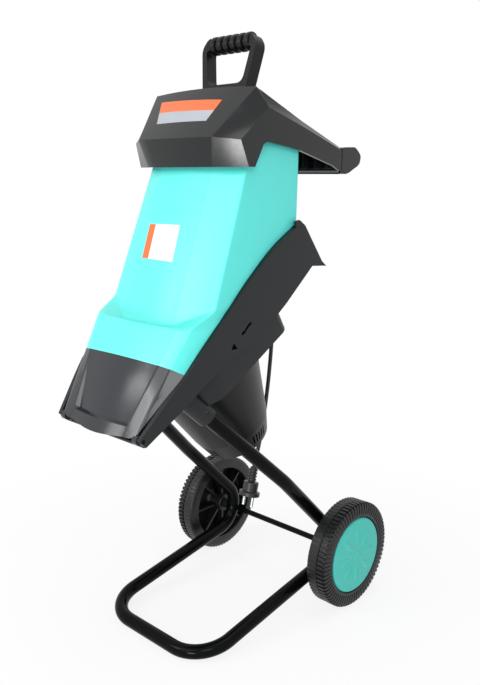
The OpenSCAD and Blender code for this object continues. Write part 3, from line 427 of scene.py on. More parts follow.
@dataclass(frozen=True)
class Studio:
    """The pale floor, the soft light and the camera of the photograph.

    Attributes:
        eye: Place of the camera.
        down_tilt: Angle from straight down to the line of sight, in degrees.
        turn: Turn of the line of sight from +Y towards -X, in degrees.
        focal_px: Focal length in pixels of the photograph.
        lamps: Name, place, aim, width and watts of each soft lamp.
    """

    eye: Point = (848.36, -846.54, 718.15)
    down_tilt: float = 77.60
    turn: float = 43.27
    focal_px: float = 771.96
    lamps: tuple[tuple[str, Point, Point, float, float], ...] = (
        ("Key", (-300, -1900, 1700), (0, 0, 550), 1400, 13),
        ("Low", (420, -1250, 170), (80, -80, 700), 300, 7),
        ("Fill", (1270, -1180, 1340), (0, 0, 500), 800, 9),
        ("Strip", (-780, -1460, 1180), (78, -210, 420), 560, 6),
        ("Top", (200, 300, 2500), (0, 0, 500), 1600, 13))
    SENSOR = 36.0
    FLOOR_HALF = 6000.0
    SHADOW_FADE_M = (0.3, 0.8)
    WHITE_SHARE = (0.84, 1.0)
    AMBIENT = 0.5

    def _camera(self) -> None:
        """Places the camera at the photograph's angle."""
        data = bpy.data.cameras.new("Camera")
        data.sensor_width = self.SENSOR
        data.lens = self.focal_px * self.SENSOR / max(IMAGE_SIZE)
        data.clip_start = 0.01
        camera = linked("Camera", data)
        camera.location = Vector(self.eye) * MM
        camera.rotation_euler = (math.radians(self.down_tilt), 0.0, math.radians(self.turn))
        bpy.context.scene.camera = camera

    def _floor(self) -> None:
        """Lays the pale floor, which stays white to the camera and keeps a soft shadow."""
        h = self.FLOOR_HALF
        floor = mesh_piece("Floor", [(-h, -h, 0), (h, -h, 0), (h, h, 0), (-h, h, 0)], [(0, 1, 2, 3)])
        material = bpy.data.materials.new("Matt white paper")
        material.use_nodes = True
        tree = material.node_tree
        paper = tree.nodes["Principled BSDF"]
        feed(tree, paper, {"Base Color": linear("#f4f4f4"), "Roughness": 0.9})
        glow = add_node(tree, "ShaderNodeEmission", None, {"Color": WHITE, "Strength": 1.0})
        coords = add_node(tree, "ShaderNodeTexCoord").outputs["Object"]
        away = add_node(tree, "ShaderNodeVectorMath", {"operation": "LENGTH"}, {0: coords}).outputs["Value"]
        fade = add_node(tree, "ShaderNodeMapRange", None,
                        dict(enumerate((away, *self.SHADOW_FADE_M, *self.WHITE_SHARE))))
        share = add_node(tree, "ShaderNodeMath", {"operation": "MULTIPLY"},
                         {0: self._seen(tree), 1: fade.outputs[0]})
        self._blend(tree, share.outputs[0], paper, glow, "Material Output")
        floor.data.materials.append(material)

    def _blend(self, tree: Tree, share: Socket, lit: bpy.types.Node, white: bpy.types.Node, end: str) -> None:
        """Mixes a share of plain white into a lit shader at the tree's end."""
        mixed = add_node(tree, "ShaderNodeMixShader", None,
                         {0: share, 1: lit.outputs[0], 2: white.outputs[0]})
        feed(tree, tree.nodes[end], {"Surface": mixed.outputs[0]})

    def _seen(self, tree: Tree) -> Socket:
        """Adds the test for rays on which the background shows.

        Args:
            tree: Node tree of the floor or the world.

        Returns:
            One on camera, glossy and transmission rays.
        """
        path = add_node(tree, "ShaderNodeLightPath").outputs
        seen = path["Is Camera Ray"]
        for ray in ("Is Glossy Ray", "Is Transmission Ray"):
            either = add_node(tree, "ShaderNodeMath", {"operation": "MAXIMUM"}, {0: seen, 1: path[ray]})
            seen = either.outputs[0]
        return seen

    def _light(self) -> None:
        """Sets the world's even light and hangs the lamps."""
        world = bpy.data.worlds.new("Studio")
        world.use_nodes = True
        tree = world.node_tree
        even = tree.nodes["Background"]
        feed(tree, even, {"Color": WHITE, "Strength": self.AMBIENT})
        white = add_node(tree, "ShaderNodeBackground", None, {"Color": WHITE, "Strength": 1.0})
        self._blend(tree, self._seen(tree), even, white, "World Output")
        bpy.context.scene.world = world
        for name, place, aim, width, watts in self.lamps:
            data = bpy.data.lights.new(name, "AREA")
            data.size = width * MM
            data.energy = watts
            lamp = linked(name, data)
            lamp.location = Vector(place) * MM
            lamp.rotation_euler = (Vector(aim) - Vector(place)).to_track_quat("-Z", "Y").to_euler()

    def build(self) -> None:
        """Sets up camera, floor and light."""
        bpy.context.scene.view_settings.view_transform = "Standard"
        self._camera()
        self._floor()
        self._light()


@dataclass(frozen=True)
class PowerLead:
    """The mains lead that hangs from the switch housing, with its strain relief, plug and pins.

    Attributes:
        diameter: Diameter of the sheath.
        x: Distance of the lead from the middle of the machine.
        route: Points along Y and Z that it passes through, from the strain relief to the plug.
    """

    diameter: float = 7.0
    x: float = 5.0
    route: tuple[Flat, ...] = (
        (78.8, 529.4), (84.8, 532.9), (100, 537), (115, 533), (126, 522), (130, 507), (130, 485),
        (129.5, 460), (127, 425), (123, 390), (118, 355), (111, 318), (102, 277), (94, 250), (86.8, 228.8),
        (85, 222))

    def build(self, model: Model) -> None:
        """Builds the lead and dresses what is on it.

        Args:
            model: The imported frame.
        """
        curve = bpy.data.curves.new("power_lead", "CURVE")
        curve.dimensions = "3D"
        curve.bevel_depth = self.diameter / 2 * MM
        curve.bevel_resolution = 5
        curve.resolution_u = 6
        curve.use_fill_caps = True
        spline = curve.splines.new("BEZIER")
        spline.bezier_points.add(len(self.route) - 1)
        places = [Vector((self.x, y, z)) * MM for y, z in self.route]
        for knot, place in zip(spline.bezier_points, places):
            knot.co = place
            knot.handle_left_type = knot.handle_right_type = "AUTO"
        lead = linked("power_lead", curve)
        model.stand_for(lead, "power_cord")
        model.edged_copy("cord_strain_relief", 0.6)
        plug = model.edged_copy("power_plug", 1.0)
        pins = model.edged_copy("plug_pins", 0.8)


class Tilted:
    """A frame turned about X, in which a sub-assembly is drawn square."""

    def __init__(self, origin: Point, turn: float) -> None:
        """Sets the frame.

        Args:
            origin: Its origin in millimetres.
            turn: Its turn about X in degrees.
        """
        self.origin = np.asarray(origin, float)
        c, s = math.cos(math.radians(turn)), math.sin(math.radians(turn))
        self.axes = np.array([[1, 0, 0], [0, c, -s], [0, s, c]])

    def points(self, local: Sequence[Any]) -> np.ndarray:
        """Returns points drawn in this frame as points of the whole part."""
        return np.asarray(local, float) @ self.axes.T + self.origin


AXLE_Y = 155.4
DECK_SLOPE = 30.3
FEED_LEAN = 10.3
WORLD = Tilted((0, 0, 0), 0)
AXLE = Tilted((0, AXLE_Y, 0), 0)
DECK = Tilted((0, -38.6, 433), DECK_SLOPE)
FEED = Tilted((0, 17.4, 777), -FEED_LEAN)


def eased(points: np.ndarray, set_back: dict[int, float]) -> np.ndarray:
    """Rounds chosen corners of an open run of points.

    Args:
        points: The run, one point a row.
        set_back: Distance from each rounded corner to where its curve starts.

    Returns:
        The run with its corners rounded in five steps.
    """
    out: list[np.ndarray] = []
    for i, p in enumerate(points):
        if i not in set_back:
            out.append(p)
            continue
        a, b = points[i - 1] - p, points[i + 1] - p
        a, b = (p + v / np.linalg.norm(v) * set_back[i] for v in (a, b))
        out += [(1 - s) ** 2 * a + 2 * s * (1 - s) * p + s * s * b for s in np.linspace(0, 1, 6)]
    return np.array(out)


def spin(profile: Sequence[tuple[Any, float]], steps: int) -> np.ndarray:
    """Returns the rings of a profile, given as X and radius, that is spun round the X axis."""
    angles = np.linspace(0, 2 * math.pi, steps + 1)[:-1]
    return np.array([np.stack([np.broadcast_to(x, steps), r * np.cos(angles), r * np.sin(angles)], 1)
                     for x, r in profile])


def loft(name: str, rings: np.ndarray, closed: bool = False) -> Piece:
    """Skins a stack of rings with equal point counts.

    Args:
        name: Name of the piece.
        rings: Array of rings, points and coordinates in millimetres.
        closed: Joins the last ring to the first, instead of filling both.

    Returns:
        The piece, with its faces turned outwards.
    """
    m, n = rings.shape[:2]
    faces = [(i * n + j, i * n + (j + 1) % n, (i + 1) % m * n + (j + 1) % n, (i + 1) % m * n + j)
             for i in range(m if closed else m - 1) for j in range(n)]
    if not closed:
        faces += [tuple(range(n)), tuple(range((m - 1) * n, m * n))]
    piece = mesh_piece(name, rings.reshape(-1, 3), faces)
    tidy(piece)
    return piece


def tidy(piece: Piece) -> None:
    """Merges doubled points and turns every face outwards.

    Args:
        piece: The piece.
    """
    form = bmesh.new()
    form.from_mesh(piece.data)
    bmesh.ops.remove_doubles(form, verts=form.verts, dist=MERGE)
    bmesh.ops.recalc_face_normals(form, faces=form.faces)
    form.to_mesh(piece.data)
    form.free()


def prism(name: str, outline: Sequence[Flat], half_w: float, frame: Tilted) -> Piece:
    """Makes and returns a prism across the machine from a side outline in a frame."""
    return loft(name, frame.points([[(x, y, z) for y, z in outline] for x in (-half_w, half_w)]))


def block(name: str, low: Point, high: Point, top_inset: float = 0.0, frame: Tilted = WORLD) -> Piece:
    """Makes a block, square in its frame, whose upper face may be smaller.

    Args:
        name: Name of the piece.
        low: Its low corner.
        high: Its high corner.
        top_inset: How far each upper edge steps in.
        frame: Frame in which it is drawn.

    Returns:
        The block.
    """
    (x0, y0, z0), (x1, y1, z1) = low, high
    return loft(name, frame.points([
        [(x0 + i, y0 + i, z), (x1 - i, y0 + i, z), (x1 - i, y1 - i, z), (x0 + i, y1 - i, z)]
        for z, i in ((z0, 0.0), (z1, top_inset))]))


def cut(piece: Piece, tool: Piece) -> None:
    """Cuts a tool's solid out of a piece and removes the tool.

    Args:
        piece: The piece.
        tool: The solid that is cut away.
    """
    step = piece.modifiers.new("Cut", "BOOLEAN")
    step.operation = "DIFFERENCE"
    step.solver = "EXACT"
    step.object = tool
    settle(piece)
    bpy.data.objects.remove(tool)


def settle(piece: Piece) -> None:
    """Turns a piece's modifiers into plain mesh.

    Args:
        piece: The piece.
    """
    graph = bpy.context.evaluated_depsgraph_get()
    mesh = bpy.data.meshes.new_from_object(piece.evaluated_get(graph))
    piece.modifiers.clear()
    piece.data = mesh


class EqualRepeat:
    """Geometry Nodes tree that repeats one small shape by equal turns and steps."""

    NAME = "EqualRepeat"
    INPUTS = {"Shape": "Geometry", "Count": "Int", "Turn": "Vector", "Step": "Vector", "Finish": "Material"}

    def tree(self) -> Tree:
        """Returns the tree, built on first use."""
        return bpy.data.node_groups.get(self.NAME) or self._build()

    def _build(self) -> Tree:
        """Builds and returns the tree."""
        tree = bpy.data.node_groups.new(self.NAME, "GeometryNodeTree")
        for name, kind in self.INPUTS.items():
            tree.interface.new_socket(name=name, in_out="INPUT", socket_type=f"NodeSocket{kind}")
        tree.interface.new_socket(name="Copies", in_out="OUTPUT", socket_type="NodeSocketGeometry")
        given = add_node(tree, "NodeGroupInput").outputs
        spots = add_node(tree, "GeometryNodeMeshLine", None,
                         {"Count": given["Count"], "Offset": given["Step"]})
        index = add_node(tree, "GeometryNodeInputIndex")
        turned = add_node(tree, "ShaderNodeVectorMath", {"operation": "SCALE"},
                          {0: given["Turn"], 3: index.outputs[0]})
        copies = add_node(tree, "GeometryNodeInstanceOnPoints", None, {
            "Points": spots.outputs[0], "Instance": given["Shape"], "Rotation": turned.outputs[0]})
        real = add_node(tree, "GeometryNodeRealizeInstances", None, {0: copies.outputs[0]})
        dressed = add_node(tree, "GeometryNodeSetMaterial", None,
                           {0: real.outputs[0], "Material": given["Finish"]})
        add_node(tree, "NodeGroupOutput", None, {0: dressed.outputs[0]})
        return tree

    def make(self, shape: Piece, count: int, finish: Finish, turn: Point = (0, 0, 0),
             step: Point = (0, 0, 0)) -> None:
        """Turns a shape into its copies as plain mesh.

        Args:
            shape: The shape at its first place.
            count: Number of copies.
            finish: Finish of the copies.
            turn: Turn from copy to copy, in degrees about X, Y and Z.
            step: Step from copy to copy, in millimetres.
        """
        tree = self.tree()
        socket = {item.name: item.identifier for item in tree.interface.items_tree if item.in_out == "INPUT"}
        repeat = shape.modifiers.new("Repeat", "NODES")
        repeat.node_group = tree
        repeat[socket["Count"]] = count
        repeat[socket["Turn"]] = [math.radians(a) for a in turn]
        repeat[socket["Step"]] = [s * MM for s in step]
        repeat[socket["Finish"]] = finish.material()
        settle(shape)


PLATE_SINK = 0.4
PLATE_SEARCH = 30.0
CORE_Y = 60.0


def conform(name: str, corners: Sequence[Point], onto: Piece, thick: float,
            grid: tuple[int, int] = (16, 8)) -> Piece:
    """Lays a thin plate with given corners on a piece's surface, facing away from the machine's core.

    Args:
        name: Name of the plate.
        corners: Its four corners, in order round it, near the surface.
        onto: The piece that carries it.
        thick: How far its face stands off.
        grid: Its faces along the first and the second side.

    Returns:
        The plate.
    """
    a, b, c, d = (np.asarray(p, float) for p in corners)
    across, down = grid
    normal = np.cross(b - a, d - a)
    normal /= np.linalg.norm(normal)
    if normal @ (a - [0, CORE_Y, a[2]]) < 0:
        normal = -normal
    skin = []
    for v in np.linspace(0, 1, down + 1):
        for u in np.linspace(0, 1, across + 1):
            p = (1 - v) * ((1 - u) * a + u * b) + v * ((1 - u) * d + u * c)
            hit, place, _, _ = onto.ray_cast(Vector((p + normal * PLATE_SEARCH) * MM), Vector(-normal))
            skin.append(np.array(place) / MM if hit else p)
    n, far = across + 1, len(skin)
    face = [(i * n + j, i * n + j + 1, (i + 1) * n + j + 1, (i + 1) * n + j)
            for i in range(down) for j in range(across)]
    rim = ([(0, j) for j in range(across)] + [(i, across) for i in range(down)]
           + [(down, j) for j in range(across, 0, -1)] + [(i, 0) for i in range(down, 0, -1)])
    edge = [i * n + j for i, j in rim]
    walls = [(p, q, q + far, p + far) for p, q in zip(edge, edge[1:] + edge[:1])]
    points = np.concatenate([skin + normal * thick, skin - normal * PLATE_SINK])
    plate = mesh_piece(name, points, face + [tuple(k + far for k in reversed(f)) for f in face] + walls)
    tidy(plate)
    soften(plate, 0.0)
    return plate


@dataclass(frozen=True)
class HopperShell:
    """The turquoise hopper and the polished discharge nose, two parts of one tapered skin.

    Attributes:
        wall: Wall of the hopper.
        nose_wall: Wall of the nose's front.
        low_half_w: Half width at the deck rim.
        top_half_w: Half width at the rear of the top.
        top: Place along Y, from the axle, and height of the top's middle.
        rim: Deck rim, along the slope and up from the motor flange.
        rim_ends: Where the parting line along the rim runs out in front and behind.
        mouth: Side outline of the block in which the nose's front reaches down between the deck's walls.
        mouth_half_w: Half width of that block.
        seam: Point of the seam between hopper and nose.
        seam_slope: Slope of the seam in degrees.
        front_shares: Places across the bowed front, as shares of its half width.
        panel_sink: Share of the panel's depth at each of those places.
        panel_top: Height at which the nose's front panel starts to sink in.
        panel_tilt: Tilt of the panel from the nose's front, in degrees.
        nose_lean: Lean of the nose's front, in degrees.
        nose_rows: Heights of the nose's rows, each with its share of the panel's depth.
        hinge: Hinge axis, along the slope and up from the motor flange.
        lug: Profile of a hinge lug, as distance from the middle and radius.
        latch_at: Place of the latch tongue, along the slope and up from the motor flange.
        latch: Outline of the forked tongue.
        label: Corners of the bare printed label.
        bow_power: Power that narrows the front's bow towards its middle.
        front_inset: Share of the wall by which the inner front is narrower.
        corner_wall: Share of the front's wall at the corner chamfers.
        panel_edge_share: Share by which the panel's flank is narrower where the panel starts to sink.
        nose_rings: Rings at the lower end of the skin that carry the nose.
        rim_gap: Gap between the skin and the line of the rim.
        rim_ease: How far the rounding of the rim's corners sets back.
        latch_lean: Lean of the tongue from square to the slope, in degrees.
        latch_faces: Places of the tongue's two faces across its thickness.
        strip_share: Share of the label's width that its coloured strip takes.
    """

    wall: float = 3.5
    nose_wall: float = 11.0
    low_half_w: float = 110.8
    top_half_w: float = 104.0
    top: Flat = (-138, 773)
    rim: tuple[Flat, ...] = ((-202, 48), (-129, 75), (-46, 98), (60, 122), (128, 132), (184, 131))
    rim_ends: tuple[Flat, Flat] = ((-240, 48.4), (240, 130.4))
    mouth: tuple[Flat, ...] = ((-250, 48.4), (-150, 48.4), (-150, 140), (-250, 140))
    mouth_half_w: float = 69.0
    seam: Point = (0, -345, 466)
    seam_slope: float = -32.0
    front_shares: tuple[float, ...] = (0, 0.15, 0.3, 0.45, 0.6, 0.75, 0.84, 0.88, 0.945, 0.97, 1.0)
    panel_sink: tuple[int, ...] = (1,) * 8 + (0,) * 3
    panel_top: float = 447.0
    panel_tilt: float = 5.0
    nose_lean: float = 61.1
    nose_rows: tuple[Flat, ...] = (
        (505, 0), (490, 0), (466, 0), (456, 0), (447, 0), (436, 1), (424, 1), (412, 1), (400, 1), (389.5, 1),
        (385, 0), (376, 0), (368, 0))
    hinge: Flat = (-197, 43.4)
    lug: tuple[Flat, ...] = ((75.8, 3.1), (77, 3.1), (77, 7), (86, 7))
    latch_at: Point = (0, 206.58, 92)
    latch: tuple[Flat, ...] = (
        (-23, -45), (23, -45), (23, 20), (5.5, 20), (5.5, 0), (-5.5, 0), (-5.5, 20), (-23, 20))
    label: tuple[Point, ...] = (
        (-51.7, -87.4, 643.1), (17.6, -89.8, 644.5), (20.2, -108.8, 593.4), (-50.2, -105.8, 593.7))
    bow_power: float = 1.5
    front_inset: float = 0.4
    corner_wall: float = 0.9
    panel_edge_share: float = 0.9
    nose_rings: int = 8
    rim_gap: float = 0.4
    rim_ease: float = 24.0
    latch_lean: float = 6.83
    latch_faces: Flat = (1.6, 5.6)
    strip_share: float = 0.22

    def _ring(self, heights: Flat, flat: float, front: float, bulge: float, corners: Sequence[Flat],
              wall: float, face: float) -> np.ndarray:
        """Draws one ring of the skin.

        Args:
            heights: Height of its sides and of its front.
            flat: Half width of the front.
            front: Place of the front.
            bulge: How far the front bows out in the middle.
            corners: Plan points of the chamfer's edge, the side and the rear.
            wall: How far the sides step in.
            face: How far the front steps in.

        Returns:
            The ring's points.
        """
        f = np.array(self.front_shares)
        n = len(f)
        z, front_z = heights
        bow = np.stack([f * (flat - wall * self.front_inset),
                        front - bulge * (1 - f * f) ** self.bow_power + face, np.full(n, front_z)], 1)
        (ex, ey), (sx, sy), (rx, ry) = corners
        step = face * self.corner_wall
        turn = np.array([(ex - wall, ey + step, z), (sx - wall, sy + step, z), (rx - wall, ry - wall, z),
                         (0, ry - wall, z)])
        half = eased(np.concatenate([bow, turn]), {n: 3.0, n + 2: 5.0})[:-1]
        return np.concatenate([half[:0:-1] * [-1, 1, 1], half])

    def _skin(self, wall: float, face: float, nose_face: float) -> np.ndarray:
        """Draws the rings of the outer or the inner skin, with its steps rounded.

        Args:
            wall: How far the sides step in.
            face: How far the hopper's front steps in.
            nose_face: How far the nose's front steps in.

        Returns:
            The rings from the top down.
        """
        low, top, (top_y, top_z) = self.low_half_w, self.top_half_w, self.top
        waist, ledge, skirt = 532 - wall, 507 - wall, 512 - wall
        hopper, nose = (wall, face), (wall, nose_face)
        crown = self._ring((0, 0), 55, -191, 3, [(top - 5.3, -173), (top - 2, -130), (top, -81)], *hopper)
        crown[:, 2] = top_z - (crown[:, 1] - top_y) * math.tan(math.radians(FEED_LEAN))
        rings = np.array([
            crown,
            self._ring((waist, ledge), 52, -293, 4, [(low - 0.4, -268), (low, -215), (low, -97)], *hopper),
            self._ring((skirt, skirt), 87, -314, 6, [(low - 8.5, -306), (low - 0.4, -272), (low, -98)],
                       *hopper),
            self._ring((443, 443), 74, -354.2, 4.8, [(91.6, -349), (low - 4, -333), (low, -104)], *nose),
            self._ring((368, 368), 60, -396.3, 4.5, [(79.8, -395.2), (84, -393.5), (low, -110)], *nose)])
        columns = [eased(column, {1: 6.0, 2: 6.0, 3: 12.0}) for column in rings.transpose(1, 0, 2)]
        return AXLE.points(np.array(columns).transpose(1, 0, 2))

    def _nose_skin(self, skin: np.ndarray, sunk: bool) -> np.ndarray:
        """Draws the rows of the nose, with its front panel sunk towards the mouth.

        Args:
            skin: Rings of the whole outer or inner skin.
            sunk: Whether the panel is sunk.

        Returns:
            The rows from above the seam down.
        """
        sink = np.zeros((skin.shape[1] + 1) // 2)
        sink[:len(self.panel_sink)] = self.panel_sink
        sink = np.concatenate([sink[:0:-1], sink])
        lean = math.radians(self.nose_lean)
        inward = np.array([0, math.sin(lean), -math.cos(lean)])
        slope = math.tan(math.radians(self.panel_tilt)) / math.sin(lean)
        deepest = slope * (self.panel_top - min(z for z, share in self.nose_rows if share))
        middle, foot = len(sink) // 2, self.panel_sink.index(0) - 1
        columns = skin[-self.nose_rings:].transpose(1, 0, 2)
        rows = []
        for z, share in self.nose_rows:
            row = np.array([[*(np.interp(-z, -c[:, 2], c[:, axis]) for axis in (0, 1)), z] for c in columns])
            depth = slope * max(0.0, self.panel_top - z)
            pull = self.panel_edge_share * max(0.0, 1 - depth / deepest)
            for side in (1, -1):
                inner, outer = middle + side * foot, middle + side * (foot + 1)
                row[inner] += (row[outer] - row[inner]) * pull
            rows.append(row + np.outer(sink * share * depth * sunk, inward))
        return np.array(rows)

    def _parted(self, name: str, outer: np.ndarray, inner: np.ndarray, below: bool) -> Piece:
        """Makes a skin with its wall, parted from the deck at the rim and from its neighbour at the seam.

        Args:
            name: Name of the piece.
            outer: Rings of the outer skin.
            inner: Rings of the inner skin.
            below: Whether the part below the seam is kept.

        Returns:
            The parted skin.
        """
        shell = loft(name, np.concatenate([outer, inner[::-1]]), closed=True)
        line = eased(np.array(self.rim, float), dict.fromkeys(range(1, 5), self.rim_ease))
        start, end = self.rim_ends
        under = [start, *map(tuple, line + [0, self.rim_gap]), end, (end[0], -200), (start[0], -200)]
        tool = prism("rim_tool", under, 240, DECK)
        if below:
            cut(tool, prism("mouth", self.mouth, self.mouth_half_w, DECK))
        cut(shell, tool)
        plane = Tilted(tuple(AXLE.points([self.seam])[0]), self.seam_slope)
        low, high = (0, 700) if below else (-400, 0)
        cut(shell, prism("seam_tool", [(-300, low), (600, low), (600, high), (-300, high)], 200, plane))
        return shell

    def _fittings(self, model: Model) -> None:
        """Adds the forked latch tongue at the hopper's rear and the lugs that turn on the hinge pins.

        Args:
            model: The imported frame.
        """
        end = Tilted(tuple(DECK.points([self.latch_at])[0]), DECK_SLOPE + self.latch_lean - 90)
        tongue = end.points([[(x, y, z) for x, y in self.latch] for z in self.latch_faces])
        fittings = [("hopper_latch", tongue, "turquoise_moulding")]
        for side, name in ((1, "nose_lug_right"), (-1, "nose_lug_left")):
            rings = DECK.points(spin(self.lug, 32) * [side, 1, 1] + [0, *self.hinge])
            fittings.append((name, rings, model.slot_of["discharge_nose"]))
        for name, rings, slot in fittings:
            piece = loft(name, rings)
            soften(piece, 0.5)
            model.add(piece, "hopper_unit", slot)

    def build(self, model: Model) -> None:
        """Builds the hopper and the nose, and lays the label on the hopper's front.

        Args:
            model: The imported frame.
        """
        outer = self._skin(0, 0, 0)
        inner = self._skin(self.wall, self.wall, self.nose_wall)
        hopper = self._parted("hopper_skin", outer, inner, False)
        soften(hopper, 0.8, angle=40)
        model.stand_for(hopper, "hopper")
        nose = self._parted("nose_skin", self._nose_skin(outer, True), self._nose_skin(inner, False), True)
        soften(nose, 0, angle=9)
        model.stand_for(nose, "discharge_nose")
        self._fittings(model)
        a, b, c, d = (np.array(p) for p in self.label)
        upper, lower = a + (b - a) * self.strip_share, d + (c - d) * self.strip_share
        for name, corners, finish in (("label_field", (upper, b, c, lower), Finishes.LABEL),
                                      ("label_strip", (a, upper, lower, d), Finishes.ORANGE)):
            model.add(conform(name, corners, hopper, 0.25), "hopper_unit", "turquoise_moulding", finish)


@dataclass(frozen=True)
class FeedHood:
    """The black feed hood with its blank badge and the ribs under its rear bar.

    Attributes:
        rib_count: Number of ribs under the rear bar.
        rib_pitch: Distance between the ribs.
        rib_half: Half thickness of a rib.
        rib_corners: Low and high corner of a rib along Y and Z.
        badge: Corners of the two-coloured badge.
    """

    rib_count: int = 9
    rib_pitch: float = 24.0
    rib_half: float = 1.2
    rib_corners: tuple[Flat, Flat] = ((150, 724), (166, 752))
    badge: tuple[Point, ...] = (
        (-77.9, -35.6, 821.9), (55.3, -40.8, 817.9), (48.7, -66.0, 788.6), (-55.3, -66.1, 788.1))

    def build(self, model: Model) -> None:
        """Builds the hood, its ribs and its badge.

        Args:
            model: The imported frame.
        """
        hood = model.edged_copy("hood", 1.6, 3, 24, Finishes.HOOD, False)
        first = -self.rib_pitch * (self.rib_count - 1) / 2
        low, high = self.rib_corners
        ribs = block("hood_ribs", (first - self.rib_half, *low), (first + self.rib_half, *high))
        EqualRepeat().make(ribs, self.rib_count, Finishes.BLACK, step=(self.rib_pitch, 0, 0))
        soften(ribs, 0.3)
        model.add(ribs, "hopper_unit", "black_moulding")
        a, b, c, d = (np.array(p) for p in self.badge)
        left, right = d + (a - d) * 0.5, c + (b - c) * 0.5
        for name, corners, finish in (("badge_upper", (a, b, right, left), Finishes.ORANGE),
                                      ("badge_lower", (left, right, c, d), Finishes.SILVER)):
            model.add(conform(name, corners, hood, 0.5, (24, 6)), "hopper_unit", "black_moulding", finish)


@dataclass(frozen=True)
class Pusher:
    """The pusher: paddle, stop flange and D handle with a ribbed grip, drawn along the feed axis.

    Attributes:
        thick: Thickness of the handle.
        frame: Right half of the handle's outline, from its middle round the outside and back.
        grip_z: Height of the grip's axis.
        grip_half: Half length of the grip.
        grip_ribs: Number of ribs on the grip.
        rib: Profile of one rib between half grooves, as share of its length and radius.
        plates: Name, low and high corner of flange and paddle.
    """

    thick: float = 21.0
    frame: tuple[Flat, ...] = (
        (0, 6), (42, 6), (43, 52), (56, 126), (45, 140), (40.5, 141), (40.5, 122.5), (46, 123), (36, 70),
        (0, 70))
    grip_z: float = 132.0
    grip_half: float = 42.0
    grip_ribs: int = 6
    rib: tuple[Flat, ...] = (
        (0.0, 9.8), (0.16, 9.8), (0.2, 12.4), (0.25, 13.2), (0.32, 13.6), (0.68, 13.6), (0.75, 13.2),
        (0.8, 12.4), (0.84, 9.8), (1.0, 9.8))
    plates: tuple[tuple[str, Point, Point], ...] = (
        ("pusher_flange", (-83, -38, 0.3), (83, 38, 6.3)), ("pusher_paddle", (-55, -18, -210), (55, 18, 1)))

    def _handle(self) -> Piece:
        """Makes and returns the D handle with its neck, without the grip."""
        half = eased(np.array(self.frame, float), {2: 6.0, 3: 9.0, 4: 5.0, 7: 5.0, 8: 12.0})
        n = len(half)
        rings = [FEED.points([(x, y, z) for x, z in half]) for y in (-self.thick / 2, self.thick / 2)]
        points = np.concatenate([*rings, *(ring * [-1, 1, 1] for ring in rings)])
        faces: list[tuple[int, ...]] = []
        for start in (0, 2 * n):
            faces += [tuple(range(start, start + n)), tuple(range(start + n, start + 2 * n))]
            faces += [(start + i, start + i + 1, start + n + i + 1, start + n + i) for i in range(n - 1)]
        handle = mesh_piece("pusher_handle", points, faces)
        tidy(handle)
        soften(handle, 3.2, 4, 50)
        return handle

    def _grip(self) -> Piece:
        """Makes the grip by repeating one rib, and returns it."""
        pitch = 2 * self.grip_half / self.grip_ribs
        _, y, z = FEED.points([(0, 0, self.grip_z)])[0]
        rings = spin([(share * pitch, r) for share, r in self.rib], 40)
        grip = loft("pusher_grip", rings + [-self.grip_half, y, z])
        EqualRepeat().make(grip, self.grip_ribs, Finishes.NYLON, step=(pitch, 0, 0))
        soften(grip, 0, angle=60)
        return grip

    def build(self, model: Model) -> None:
        """Builds the pusher.

        Args:
            model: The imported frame.
        """
        slot = model.slot_of["pusher"]
        model.stand_for(self._handle(), "pusher")
        model.add(self._grip(), "pusher", slot)
        for name, low, high in self.plates:
            plate = block(name, low, high, frame=FEED)
            soften(plate, 1.6, 3)
            model.add(plate, "pusher", slot)


